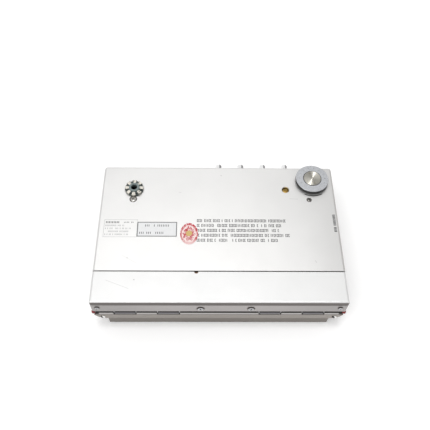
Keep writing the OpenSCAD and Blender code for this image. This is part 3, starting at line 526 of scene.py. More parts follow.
@dataclass(frozen=True)
class PlatedScrew(Finish):
    """Bright plated screw with grime spots, and painted shade below the top of its head."""

    axis: Axis = Axis.Z
    clean: float = 0.0
    dirty: float = -0.2
    dirt: RGB = (0.06, 0.05, 0.045)
    dirt_roughness: float = 0.65
    relief: float = 8.0

    def shade(self, graph: Graph, place: Socket) -> Socket:
        """Mix the plating's shader.

        Args:
            graph: The material's nodes.
            place: The place on the piece.

        Returns:
            The shader.
        """
        spots = graph.noise(place, 2.2, 4.0, 0.7)
        # Painted shade: the head darkens below its top, into its cross and round its rim; the random spots
        # are grime.
        deep = graph.ramp(graph.along(place, self.axis), self.clean, self.dirty)
        colour = graph.blend(graph.ramp(spots, 0.35, 0.75), self.tone, self.toned(0.75))
        share = graph.math("MAXIMUM", deep, graph.ramp(spots, 0.62, 0.85, 0.0, 0.5))
        colour = self.marked(graph, place, graph.blend(share, colour, self.dirt))
        rough = graph.ramp(share, 0.0, 1.0, self.roughness, self.dirt_roughness)
        return graph.principled(Base_Color=colour, Metallic=graph.ramp(share, 0.2, 1.0, 1.0, 0.3),
                                Roughness=rough, Normal=graph.bump(spots, self.relief))


@dataclass(frozen=True)
class Moulded(Finish):
    """Moulded plastic, rubber or paint: an even tone with a fine grain and a little polish from handling."""

    grain: float = 1.6
    relief: float = 10.0
    polish: float = 0.1
    coat: float = 0.0

    def shade(self, graph: Graph, place: Socket) -> Socket:
        """Mix the moulding's shader.

        Args:
            graph: The material's nodes.
            place: The place on the piece.

        Returns:
            The shader.
        """
        grain = graph.noise(place, self.grain, 3.0, 0.6)
        wear = graph.noise(place, 0.12, 4.0)
        colour = graph.blend(graph.ramp(grain, 0.3, 0.75), self.toned(0.85), self.toned(1.18, 0.004))
        rough = self.roughened(graph, wear, (0.3, 0.75), (0.03, -self.polish))
        return graph.principled(Base_Color=self.marked(graph, place, colour), Roughness=rough,
                                Coat_Weight=self.coat, Normal=graph.bump(grain, self.relief))


@dataclass(frozen=True)
class DialMetal(Finish):
    """Satin dial ring with a bluish face, and a dark skirt below its rim."""

    centre: Point = ORIGIN
    face_z: float = 32.45
    rim: float = 0.1
    skirt: RGB = (0.012, 0.012, 0.012)
    relief: float = 10.0

    def shade(self, graph: Graph, place: Socket) -> Socket:
        """Mix the ring's shader.

        Args:
            graph: The material's nodes.
            place: The place on the piece.

        Returns:
            The shader.
        """
        ring = graph.noise(graph.combine(graph.radius(place, self.centre)), 5.0, 3.0, 0.7)
        speck = graph.noise(place, 1.6, 5.0, 0.8)
        deep = self.toned(0.72)
        colour = graph.blend(graph.ramp(speck, 0.38, 0.72), self.tone, deep)
        colour = graph.blend(graph.ramp(ring, 0.5, 0.8, 0.0, 0.35), colour, deep)
        low = graph.ramp(graph.along(place, Axis.Z), self.face_z + self.rim, self.face_z - self.rim)
        rough = self.roughened(graph, speck, (0.3, 0.7), (-0.05, 0.08))
        return graph.principled(Base_Color=graph.blend(low, colour, self.skirt), Roughness=rough,
                                Metallic=graph.ramp(low, 0.0, 1.0, 0.85, 0.1),
                                Normal=graph.bump(graph.math("ADD", ring, speck), self.relief))


@dataclass(frozen=True)
class WornNut(Finish):
    """Dark plated ring nut with bright lands between its notches: wear of the plating and a painted
    reflection.
    """

    centre: Point = ORIGIN
    notches: int = 8
    bright: RGB = (0.72, 0.69, 0.62)
    land: Pair = (3.1, 5.0)
    relief: float = 40.0

    def shade(self, graph: Graph, place: Socket) -> Socket:
        """Mix the nut's shader.

        Args:
            graph: The material's nodes.
            place: The place on the piece.

        Returns:
            The shader.
        """
        inner, outer = self.land
        lobe = graph.wave("COSINE", graph.bearing(graph.offset(place, self.centre)), float(self.notches))
        band = graph.band(graph.radius(place, self.centre), (inner - 0.3, inner + 0.1), (outer + 0.4, outer))
        patches = graph.noise(place, 0.55, 3.0, 0.6)
        # The bright lands are partly wear of the plating and partly a painted reflection on their tops.
        wear_and_glint = graph.times(graph.ramp(lobe, -0.5, 0.2), band, graph.ramp(patches, 0.34, 0.5))
        colour = graph.blend(graph.noise(place, 1.8, 4.0), self.tone, self.toned(0.5))
        rough = self.roughened(graph, wear_and_glint, (0.0, 1.0), (0.15, -0.1))
        return graph.principled(Base_Color=graph.blend(wear_and_glint, colour, self.bright), Roughness=rough,
                                Metallic=graph.ramp(wear_and_glint, 0.0, 1.0, 0.55, 0.9),
                                Normal=graph.bump(patches, self.relief))


@dataclass(frozen=True)
class Pane(Finish):
    """Clear moulded pane with a grey tint and hairlines from use."""

    hairline: RGB = (0.9, 0.9, 0.9)
    index: float = 1.49
    clearness: float = 0.9
    relief: float = 6.0

    def shade(self, graph: Graph, place: Socket) -> Socket:
        """Mix the pane's shader.

        Args:
            graph: The material's nodes.
            place: The place on the piece.

        Returns:
            The shader.
        """
        hair = graph.noise(graph.stretch(place, (0.1, 2.4, 1.0), (0.0, 0.0, 0.6)), 1.0, 3.0, 0.7)
        rough = self.roughened(graph, hair, (0.55, 0.8), (0.0, 0.2))
        colour = graph.blend(graph.ramp(hair, 0.6, 0.85, 0.0, 0.2), self.tone, self.hairline)
        return graph.principled(Base_Color=colour, Roughness=rough, IOR=self.index,
                                Transmission_Weight=self.clearness, Normal=graph.bump(hair, self.relief))


@dataclass(frozen=True)
class Laminate(Finish):
    """Green circuit board with copper runs under its lacquer."""

    copper: RGB = (0.16, 0.30, 0.12)
    run_scale: float = 0.3
    run_count: float = 14.0
    relief: float = 30.0

    def shade(self, graph: Graph, place: Socket) -> Socket:
        """Mix the board's shader.

        Args:
            graph: The material's nodes.
            place: The place on the piece.

        Returns:
            The shader.
        """
        cells = graph.add("ShaderNodeTexVoronoi", {"Vector": place, "Scale": self.run_scale},
                          distance="MANHATTAN", feature="F2").outputs[0]
        runs = graph.ramp(graph.wave("SINE", cells, self.run_count), 0.1, 0.3)
        weave = graph.noise(place, 2.5, 2.0)
        colour = graph.blend(weave, self.toned(0.8), self.tone)
        colour = graph.blend(graph.times(runs, 0.7), colour, self.copper)
        return graph.principled(Base_Color=colour, Roughness=graph.ramp(weave, 0.3, 0.7, 0.3, 0.45),
                                Normal=graph.bump(runs, self.relief))


@dataclass(frozen=True)
class Ink(Finish):
    """Screen-printed ink, thin and rubbed here and there."""

    rubbed: RGB = (0.45, 0.45, 0.45)
    rubbed_roughness: float = 0.7
    relief: float = 4.0

    def shade(self, graph: Graph, place: Socket) -> Socket:
        """Mix the ink's shader.

        Args:
            graph: The material's nodes.
            place: The place on the piece.

        Returns:
            The shader.
        """
        rub = graph.noise(place, 0.5, 4.0, 0.65)
        colour = graph.blend(graph.ramp(rub, 0.48, 0.8, 0.0, 0.75), self.tone, self.rubbed)
        rough = graph.ramp(rub, 0.3, 0.7, self.roughness, self.rubbed_roughness)
        return graph.principled(Base_Color=colour, Roughness=rough, Normal=graph.bump(rub, self.relief))


@dataclass(frozen=True)
class SealPaper(Finish):
    """Printed paper seal: red petals round a gilt middle, faded along one edge."""

    centre: Point = ORIGIN
    half: Pair = (4.9, 6.8)
    petals: int = 10
    pale: RGB = (0.90, 0.72, 0.70)
    gilt: RGB = (0.62, 0.45, 0.16)
    relief: float = 30.0

    def shade(self, graph: Graph, place: Socket) -> Socket:
        """Mix the seal's shader.

        Args:
            graph: The material's nodes.
            place: The place on the piece.

        Returns:
            The shader.
        """
        unit = graph.stretch(place, (1 / self.half[0], 1 / self.half[1], 0.0), shift=self.centre)
        wobble = graph.times(graph.math("SUBTRACT", graph.noise(place, 0.35, 3.0), 0.5), 0.55)
        reach = graph.math("ADD", graph.vector("LENGTH", unit).outputs["Value"], wobble)
        sway = graph.math("SUBTRACT", graph.noise(place, 0.22, 2.0), 0.5)
        turn = graph.math("ADD", graph.bearing(unit), sway)
        lobe = graph.wave("COSINE", turn, float(self.petals))
        edge = graph.math("ADD", graph.times(lobe, 0.09), 0.66)
        petal = graph.ramp(graph.math("SUBTRACT", edge, reach), -0.02, 0.05)
        ring = graph.band(reach, (0.78, 0.82), (1.1, 1.04))
        spoke = graph.math("ABSOLUTE", graph.wave("SINE", turn, self.petals / 2.0))
        vein = graph.ramp(spoke, 0.22, 0.05, 0.0, 0.9)
        red = graph.math("MAXIMUM", graph.times(petal, graph.math("SUBTRACT", 1.0, vein)), ring)
        crease = graph.noise(place, 0.7, 4.0, 0.7)
        fade = graph.times(graph.ramp(graph.along(unit, Axis.Y), -0.25, -0.95), 0.75)
        fade = graph.math("MAXIMUM", fade, graph.ramp(crease, 0.47, 0.62, 0.0, 0.9))
        red = graph.times(red, graph.math("SUBTRACT", 1.0, fade))
        colour = graph.blend(red, self.pale, graph.blend(crease, self.tone, self.toned(0.6)))
        colour = graph.blend(graph.ramp(reach, 0.34, 0.28), colour, self.gilt)
        return graph.principled(Base_Color=colour, Roughness=self.roughness,
                                Normal=graph.bump(crease, self.relief))


@dataclass(frozen=True)
class PaleFloor(Finish):
    """Plain pale studio floor with a trace of paper texture, lifted a little where it is looked at."""

    lift: float = 0.13

    def shade(self, graph: Graph, place: Socket) -> Socket:
        """Mix the floor's shader.

        Args:
            graph: The material's nodes.
            place: The place on the piece.

        Returns:
            The shader.
        """
        colour = graph.blend(graph.noise(place, 0.4, 3.0), self.toned(0.995), self.tone)
        paper = graph.named("ShaderNodeBsdfDiffuse", Color=colour, Roughness=self.roughness)
        lift = graph.times(graph.looked_at(), self.lift)
        glow = graph.named("ShaderNodeEmission", Color=colour, Strength=lift)
        return graph.add("ShaderNodeAddShader", {0: paper, 1: glow}).outputs[0]


def put(name: str, data: bpy.types.ID) -> bpy.types.Object:
    """Put some data in the scene.

    Args:
        name: The new object's name.
        data: Its mesh, curve, lamp or camera.

    Returns:
        The new object.
    """
    obj = bpy.data.objects.new(name, data)
    bpy.context.scene.collection.objects.link(obj)
    return obj


def plain_mesh(obj: bpy.types.Object) -> Mesh:
    """Make a plain mesh of an object with its modifiers, or of a curve.

    Args:
        obj: The object.

    Returns:
        The new mesh.
    """
    bpy.context.view_layer.update()
    graph = bpy.context.evaluated_depsgraph_get()
    return bpy.data.meshes.new_from_object(obj.evaluated_get(graph))


def dress(finish: Finish, *nodes: str) -> None:
    """Give CAD nodes a finish.

    Args:
        finish: The finish of all of them.
        *nodes: Names of the nodes.
    """
    for name in nodes:
        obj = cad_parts[name]
        if not obj.material_slots:
            obj.data.materials.append(None)
        for slot in obj.material_slots:
            slot.material = finish.material()
        LOG.info("dressed %s in %s", name, finish.name)


def make_piece(mesh: Mesh, finish: Finish) -> bpy.types.Object:
    """Put a finished mesh in the scene as a piece of the same name.

    Args:
        mesh: Its mesh, in place, in metres.
        finish: Its finish.

    Returns:
        The new object.
    """
    mesh.materials.clear()
    mesh.materials.append(finish.material())
    obj = put(mesh.name, mesh)
    LOG.info("built %s with %d faces", obj.name, len(mesh.polygons))
    return obj


def add_piece(mesh: Mesh, body: Body, finish: Finish, slot: str, *replaces: str) -> None:
    """Put a finished mesh in the scene as a piece that rides on a body.

    Args:
        mesh: Its mesh, in place, in metres.
        body: The body that it rides on.
        finish: Its finish.
        slot: A material slot of the record; not used.
        *replaces: CAD nodes that it stands for.
    """
    obj = make_piece(mesh, finish)
    if replaces:
        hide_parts(*replaces)
    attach(obj, body.value)


@dataclass
class Box:
    """A box in the frame, in millimetres."""

    low: Vector
    high: Vector

    @property
    def middle(self) -> Vector:
        """Return the middle of the box."""
        return (self.low + self.high) / 2

    @property
    def top(self) -> Point:
        """Return the middle of the box's upper face."""
        return (self.middle.x, self.middle.y, self.high.z)

    @property
    def front(self) -> Point:
        """Return the middle of the box's near face."""
        return (self.middle.x, self.low.y, self.middle.z)

    @property
    def length(self) -> float:
        """Return the box's length along X."""
        return self.high.x - self.low.x

    @property
    def radius(self) -> float:
        """Return half the box's length along X."""
        return self.length / 2


class Solid(Box):
    """A CAD node, with its box."""

    def __init__(self, node: str) -> None:
        """Read the node's box."""
        super().__init__(*(Vector(corner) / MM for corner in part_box(node)))
        self.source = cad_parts[node]

    def underside(self, x: float, y: float) -> float:
        """Find the height at which the node is met first from below.

        Args:
            x: The place along X.
            y: The place along Y.

        Returns:
            The height.
        """
        mesh = self.source.data
        corners = [v.co for v in mesh.vertices]
        faces = BVHTree.FromPolygons(corners, [tuple(p.vertices) for p in mesh.polygons])
        below = Vector((x, y, self.low.z - 1.0)) * MM
        return faces.ray_cast(below, Vector(Axis.Z.value))[0].z / MM

    def parts(self) -> List[Box]:
        """Find the separate solids of the node.

        Returns:
            Their boxes, from left to right.
        """
        bm = bmesh.new()
        bm.from_mesh(self.source.data)
        bm.transform(self.source.matrix_world)
        bmesh.ops.remove_doubles(bm, verts=bm.verts, dist=SOLID_MERGE_M)
        boxes = []
        for seed in bm.verts:
            if seed.tag:
                continue
            seed.tag = True
            solid, queue = [], [seed]
            while queue:
                vert = queue.pop()
                solid.append(vert.co / MM)
                for other in (edge.other_vert(vert) for edge in vert.link_edges):
                    if not other.tag:
                        other.tag = True
                        queue.append(other)
            boxes.append(Box(Vector(map(min, zip(*solid))), Vector(map(max, zip(*solid)))))
        bm.free()
        return sorted(boxes, key=lambda box: box.low.x)


class Shape:
    """Closed meshes made from outlines."""

    @staticmethod
    def join(name: str, meshes: Sequence[Mesh]) -> Mesh:
        """Put several meshes into one.

        Args:
            name: The new mesh's name.
            meshes: The meshes, which are removed.

        Returns:
            The new mesh.
        """
        bm = bmesh.new()
        for mesh in meshes:
            bm.from_mesh(mesh)
            bpy.data.meshes.remove(mesh)
        return Shape.closed(name, bm, MERGE_MM * MM)

    @staticmethod
    def closed(name: str, bm: bmesh.types.BMesh, merge: float) -> Mesh:
        """Close a bmesh into a mesh, with its doubles merged and its faces outwards.

        Args:
            name: The mesh's name.
            bm: The shape, which is freed.
            merge: Distance up to which vertices are the same.

        Returns:
            The mesh.
        """
        bmesh.ops.remove_doubles(bm, verts=bm.verts, dist=merge)
        bmesh.ops.recalc_face_normals(bm, faces=bm.faces)
        mesh = bpy.data.meshes.new(name)
        bm.to_mesh(mesh)
        bm.free()
        return mesh

    @staticmethod
    def in_metres(name: str, bm: bmesh.types.BMesh) -> Mesh:
        """Close a bmesh into a mesh in metres.

        Args:
            name: The mesh's name.
            bm: The shape in millimetres, which is freed.

        Returns:
            The mesh.
        """
        mesh = Shape.closed(name, bm, MERGE_MM)
        mesh.transform(Matrix.Scale(MM, 4))
        return mesh

    @staticmethod
    def loft(name: str, rings: Sequence[Sequence[Point]], looped: bool = False) -> Mesh:
        """Lay a skin over rings of points.

        Args:
            name: The mesh's name.
            rings: Rings of equal numbers of points, in millimetres. A ring of one point is a pole.
            looped: True if the last ring joins the first. Otherwise both ends get a face.

        Returns:
            The mesh, in metres.
        """
        bm = bmesh.new()
        rows = [[bm.verts.new(point) for point in ring] for ring in rings]
        steps = max(len(row) for row in rows)
        if looped:
            rows.append(rows[0])
        else:
            for cap in (rows[0][::-1], rows[-1]):
                if len(cap) > 1:
                    bm.faces.new(cap)
        for low, high in zip(rows, rows[1:]):
            for k in range(steps):
                n = (k + 1) % steps
                corners = (low[k % len(low)], low[n % len(low)], high[n % len(high)], high[k % len(high)])
                bm.faces.new(list(dict.fromkeys(corners)))
        return Shape.in_metres(name, bm)

    @staticmethod
    def prism(name: str, outline: Sequence[Pair], low: float, high: float) -> Mesh:
        """Return a flat prism over an outline in X and Y, between two heights."""
        return Shape.loft(name, [[(x, y, z) for x, y in outline] for z in (low, high)])

    @staticmethod
    def rectangle(sides: Sides, inset: float = 0.0) -> List[Pair]:
        """Return the corners of a rectangle, given by its left, near, right and far sides, less an inset."""
        x0, y0, x1, y1 = sides[0] + inset, sides[1] + inset, sides[2] - inset, sides[3] - inset
        return [(x0, y0), (x1, y0), (x1, y1), (x0, y1)]

    @staticmethod
    def border(name: str, sides: Sides, width: float, low: float, high: float) -> Mesh:
        """Make a flat rectangular border.

        Args:
            name: The mesh's name.
            sides: Left, near, right and far sides of its outside.
            width: Width of its line.
            low: Its lower face.
            high: Its upper face.

        Returns:
            The mesh, in metres.
        """
        edges = ((0.0, low), (0.0, high), (width, high), (width, low))
        rings = [[(x, y, z) for x, y in Shape.rectangle(sides, inset)] for inset, z in edges]
        return Shape.loft(name, rings, looped=True)

    @staticmethod
    def lathe(name: str, profile: Sequence[Pair], steps: int) -> Mesh:
        """Make a turned shape round Z.

        Args:
            name: The mesh's name.
            profile: Radius and height of its points, from axis to axis.
            steps: Sides round the axis.

        Returns:
            The mesh, in metres.
        """
        turns = [2 * math.pi * k / steps for k in range(steps)]
        rings = [[(radius * math.cos(a), radius * math.sin(a), height) for a in (turns if radius else (0.0,))]
                 for radius, height in profile]
        return Shape.loft(name, rings)


class Tree(Graph):
    """A Geometry Nodes tree with named inputs, made into plain meshes."""

    KINDS = {float: "NodeSocketFloat", int: "NodeSocketInt", tuple: "NodeSocketVector",
             bpy.types.Material: "NodeSocketMaterial", bpy.types.Object: "NodeSocketObject"}

    def __init__(self, name: str, **inputs: type) -> None:
        """Make the tree and its inputs.

        Args:
            name: The tree's name.
            **inputs: Kind of value of each named input. A material is always one.
        """
        super().__init__(bpy.data.node_groups.new(name, "GeometryNodeTree"))
        face = self.tree.interface
        face.new_socket("Geometry", in_out="INPUT", socket_type="NodeSocketGeometry")
        face.new_socket("Geometry", in_out="OUTPUT", socket_type="NodeSocketGeometry")
        self.keys = {}
        for key, kind in (*inputs.items(), ("material", bpy.types.Material)):
            self.keys[key] = face.new_socket(key, in_out="INPUT", socket_type=self.KINDS[kind]).identifier
        self.source = self.tree.nodes.new("NodeGroupInput")
        self.sink = self.tree.nodes.new("NodeGroupOutput")

    def given(self, key: str) -> Socket:
        """Return the socket of a named input."""
        return self.source.outputs[key]

    def made(self, kind: str, **inputs: Value) -> Socket:
        """Return what a node of geometry makes."""
        return self.named("GeometryNode" + kind, **inputs)

    def chance(self, seed: Value, spot: Optional[Value] = None, top: float = 1.0) -> Socket:
        """Draw a random value.

        Args:
            seed: The seed of the draw.
            spot: What the draw differs by, if that isn't the point itself.
            top: The largest value.

        Returns:
            The value, from 0 up.
        """
        inputs: Dict[Union[str, int], Value] = {2: 0.0, 3: top, 8: seed}
        if spot is not None:
            inputs[7] = spot
        return self.add("FunctionNodeRandomValue", inputs, data_type="FLOAT").outputs[1]

    def close(self, geometry: Socket, **move: Value) -> None:
        """End the tree: move the whole, make instances real and set the material.

        Args:
            geometry: What the tree has made.
            **move: Translation and Rotation of the whole.
        """
        moved = self.made("Transform", Geometry=geometry, **move)
        real = self.made("RealizeInstances", Geometry=moved)
        done = self.made("SetMaterial", Geometry=real, Material=self.given("material"))
        self.tree.links.new(done, self.sink.inputs[0])

    def grow(self, name: str, finish: Finish, points: Sequence[Point] = (), **values: object) -> Mesh:
        """Run the tree once and keep its result as a plain mesh.

        Args:
            name: The mesh's name.
            finish: Its finish.
            points: Places that the tree starts from, in metres.
            **values: Value of each named input, in metres where it is a length.

        Returns:
            The mesh, in metres.
        """
        start = bpy.data.meshes.new(name + "_seed")
        start.from_pydata([Vector(p) for p in points], [], [])
        obj = put(name + "_seed", start)
        modifier = obj.modifiers.new("grow", "NODES")
        modifier.node_group = self.tree
        for key, value in {**values, "material": finish.material()}.items():
            modifier[self.keys[key]] = value
        mesh = plain_mesh(obj)
        mesh.name = name
        obj.modifiers.clear()
        bpy.data.objects.remove(obj)
        bpy.data.meshes.remove(start)
        return mesh


class TickRows(Tree):
    """Rows of short upright ticks with gaps, as a plain stand-in for small print."""

    ROW_SEED = 7.0

    def __init__(self) -> None:
        """Build the tree."""
        super().__init__("tick_rows", columns=int, rows=int, pitch=tuple, tick=tuple, origin=tuple,
                         turn=float, gap_share=float, ragged=float, seed=int)
        across, down, _ = self.split(self.given("pitch"))
        columns, rows, seed = self.given("columns"), self.given("rows"), self.given("seed")
        width = self.times(self.math("SUBTRACT", columns, 1.0), across)
        depth = self.times(self.math("SUBTRACT", rows, 1.0), down)
        grid = self.made("MeshGrid", Size_X=width, Size_Y=depth, Vertices_X=columns, Vertices_Y=rows)
        index = self.made("InputIndex")
        row = self.math("MODULO", index, rows)
        short = self.chance(self.math("ADD", seed, self.ROW_SEED), row)
        limit = self.math("SUBTRACT", self.times(width, 0.5), self.times(short, self.given("ragged")))
        past = self.math("GREATER_THAN", self.split(self.made("InputPosition"))[0], limit)
        gap = self.math("LESS_THAN", self.chance(seed, index), self.given("gap_share"))
        kept = self.made("DeleteGeometry", Geometry=grid, Selection=self.math("MAXIMUM", gap, past))
        tick = self.made("MeshCube", Size=self.given("tick"))
        self.close(self.made("InstanceOnPoints", Points=kept, Instance=tick),
                   Translation=self.given("origin"), Rotation=self.combine(z=self.given("turn")))


class TickRing(Tree):
    """Ticks or ribs set radially on a part of a circle."""

    def __init__(self) -> None:
        """Build the tree."""
        super().__init__("tick_ring", count=int, radius=float, start=float, step=float, tick=tuple,
                         centre=tuple)
        line = self.made("MeshLine", Count=self.given("count"))
        turn = self.math("ADD", self.given("start"), self.times(self.made("InputIndex"), self.given("step")))
        x, y = (self.times(self.math(kind, turn), self.given("radius")) for kind in ("COSINE", "SINE"))
        points = self.made("SetPosition", Geometry=line, Position=self.combine(x, y))
        tick = self.made("MeshCube", Size=self.given("tick"))
        self.close(self.made("InstanceOnPoints", Points=points, Instance=tick, Rotation=self.combine(z=turn)),
                   Translation=self.given("centre"))


class WireCoil(Tree):
    """A conical coil of round wire."""

    TURN_STEPS = 40
    WIRE_STEPS = 12

    def __init__(self) -> None:
        """Build the tree."""
        super().__init__("wire_coil", turns=float, start_radius=float, end_radius=float, length=float,
                         wire=float, origin=tuple, facing=tuple)
        coil = self.made("CurveSpiral", Resolution=self.TURN_STEPS, Rotations=self.given("turns"),
                         Start_Radius=self.given("start_radius"), End_Radius=self.given("end_radius"),
                         Height=self.given("length"))
        wire = self.made("CurvePrimitiveCircle", Resolution=self.WIRE_STEPS, Radius=self.given("wire"))
        tube = self.made("CurveToMesh", Curve=coil, Profile_Curve=wire, Fill_Caps=True)
        self.close(self.made("SetShadeSmooth", Geometry=tube), Translation=self.given("origin"),
                   Rotation=self.given("facing"))


class ScrewField(Tree):
    """One screw repeated at places, each turned at random about its axis."""

    def __init__(self) -> None:
        """Build the tree."""
        super().__init__("screw_field", screw=bpy.types.Object, facing=tuple, seed=int)
        info = self.add("GeometryNodeObjectInfo", {"Object": self.given("screw")})
        turn = self.combine(z=self.chance(self.given("seed"), top=math.pi))
        self.close(self.made("InstanceOnPoints", Points=self.given("Geometry"), Rotation=turn,
                             Instance=info.outputs["Geometry"]), Rotation=self.given("facing"))


@dataclass
class PanScrew:
    """A pan-head screw with a tapered cross recess, on Z with its seat at the origin."""

    head_r: float
    head_h: float
    rim_share: float = 0.35
    dome: Tuple[float, ...] = (0.0, 0.3, 0.6, 0.9, 1.2)
    steps: int = 40
    shank_l: float = 0.6
    shank_share: float = 0.5
    wing_share: float = 0.64
    slot_share: float = 0.16
    taper: float = 0.55
    depth: float = 0.5
    clear: float = 0.1

    def build(self) -> bpy.types.Object:
        """Turn the head and cut its cross.

        Returns:
            The screw as a hidden template object.
        """
        rim, shank_r = self.head_h * self.rim_share, self.head_r * self.shank_share
        rise = [(self.head_r * math.cos(t), rim + (self.head_h - rim) * math.sin(t)) for t in self.dome]
        profile = [(0.0, -self.shank_l), (shank_r, -self.shank_l), (shank_r, 0.0), (self.head_r, 0.0), *rise,
                   (0.0, self.head_h)]
        screw = put("screw_head", Shape.lathe("screw_head", profile, self.steps))
        cutter = put("screw_cross", self._cross())
        cut = screw.modifiers.new("cross", "BOOLEAN")
        cut.operation, cut.object, cut.solver, cut.use_self = "DIFFERENCE", cutter, "EXACT", True
        mesh = plain_mesh(screw)
        screw.modifiers.clear()
        screw.data = mesh
        bpy.data.objects.remove(cutter)
        screw.hide_render = True
        return screw

    def _cross(self) -> Mesh:
        """Make the two crossed wedges that cut the recess.

        Returns:
            The mesh, in metres.
        """
        cross = bmesh.new()
        wing, slot = 2 * self.head_r * self.wing_share, 2 * self.head_r * self.slot_share
        for turn in (0.0, QUARTER_TURN):
            for vert in bmesh.ops.create_cube(cross, size=1.0)["verts"]:
                upper = vert.co.z > 0
                grow = 1.0 if upper else self.taper
                height = self.head_h + self.clear if upper else self.head_h - self.depth
                spot = Vector((vert.co.x * wing * grow, vert.co.y * slot * grow, height))
                vert.co = Matrix.Rotation(turn, 3, "Z") @ spot
        return Shape.in_metres("screw_cross", cross)


@dataclass(frozen=True)
class Lamp:
    """A wide soft lamp far away, with its spread, azimuth from +X and height in degrees."""

    name: str
    strength: float
    spread: float
    azimuth: float
    height: float

    def build(self) -> None:
        """Put the lamp in the scene."""
        data = bpy.data.lights.new(self.name, "SUN")
        data.energy, data.angle = self.strength, math.radians(self.spread)
        turn, rise = math.radians(self.azimuth), math.radians(self.height)
        to_lamp = Vector((math.cos(turn) * math.cos(rise), math.sin(turn) * math.cos(rise), math.sin(rise)))
        lamp = put(self.name, data)
        lamp.rotation_mode = "QUATERNION"
        lamp.rotation_quaternion = to_lamp.to_track_quat("Z", "Y")


@dataclass
class Studio:
    """Floor, soft lights and the camera of the photograph."""

    lens: float = 47.704
    sensor: float = 36.0
    clip: Pair = (0.01, 100.0)
    eye: Point = (-8.2, -164.6, 297.7)
    pitch: float = 57.18
    yaw: float = -2.01
    roll: float = 1.95
    floor_half: float = 4000.0
    floor_z: float = -0.02
    horizon: RGB = (0.62, 0.62, 0.62)
    zenith: RGB = (0.46, 0.46, 0.46)
    room_span: Pair = (0.1, 0.9)
    backdrop: RGB = (0.97, 0.97, 0.97)
    backdrop_span: Pair = (0.55, 0.2)
    lamps: Tuple[Lamp, ...] = (
        Lamp("overhead_light", 0.72, 14.0, 180.0, 88.0),
        Lamp("rear_light", 0.26, 30.0, 98.0, 65.0),
        Lamp("front_light", 0.95, 40.0, -135.0, 58.0),
    )

    def build(self) -> None:
        """Make the camera, the lights, the floor and the room."""
        self._camera()
        for lamp in self.lamps:
            lamp.build()
        self._floor()
        self._room()
        bpy.context.scene.view_settings.view_transform = "Standard"

    def _room(self) -> None:
        """Make the room that lights the player, with a pale backdrop near the horizon."""
        world = bpy.data.worlds.new("pale_room")
        world.use_nodes = True
        graph = Graph(world.node_tree)
        height = graph.along(graph.add("ShaderNodeTexCoord").outputs["Generated"], Axis.Z)
        room = graph.blend(graph.ramp(height, *self.room_span), self.horizon, self.zenith)
        share = graph.times(graph.looked_at(), graph.ramp(height, *self.backdrop_span))
        sky = world.node_tree.nodes["Background"].inputs["Color"]
        graph.feed(sky, graph.blend(share, room, self.backdrop))
        bpy.context.scene.world = world

    def _camera(self) -> None:
        """Make the camera at the photograph's place and angle."""
        pitch, yaw, roll = (math.radians(a) for a in (self.pitch, self.yaw, self.roll))
        level = Vector((math.cos(yaw), math.sin(yaw), 0.0))
        forward = Vector((-math.sin(yaw), math.cos(yaw), 0.0))
        ahead = forward * math.cos(pitch) - Vector(Axis.Z.value) * math.sin(pitch)
        rise = level.cross(ahead)
        right = level * math.cos(roll) + rise * math.sin(roll)
        up = rise * math.cos(roll) - level * math.sin(roll)
        data = bpy.data.cameras.new("photo_camera")
        data.lens, data.sensor_width, data.sensor_fit = self.lens, self.sensor, "HORIZONTAL"
        data.clip_start, data.clip_end = self.clip
        camera = put("photo_camera", data)
        turned = Matrix((right, up, -ahead)).transposed().to_4x4()
        camera.matrix_world = Matrix.Translation(Vector(self.eye) * MM) @ turned
        bpy.context.scene.camera = camera

    def _floor(self) -> None:
        """Make the floor that the player lies on."""
        bm = bmesh.new()
        half = self.floor_half
        corners = Shape.rectangle((-half, -half, half, half))
        bm.faces.new([bm.verts.new((x, y, self.floor_z)) for x, y in corners])
        mesh = Shape.in_metres("floor", bm)
        mesh.materials.append(PaleFloor("pale_floor", (0.95, 0.95, 0.95), 0.5).material())
        floor = put("floor", mesh)


@dataclass(frozen=True)
class Seat:
    """Where a screw's head sits, before its group is turned, and the head's radius."""

    place: Point
    radius: float


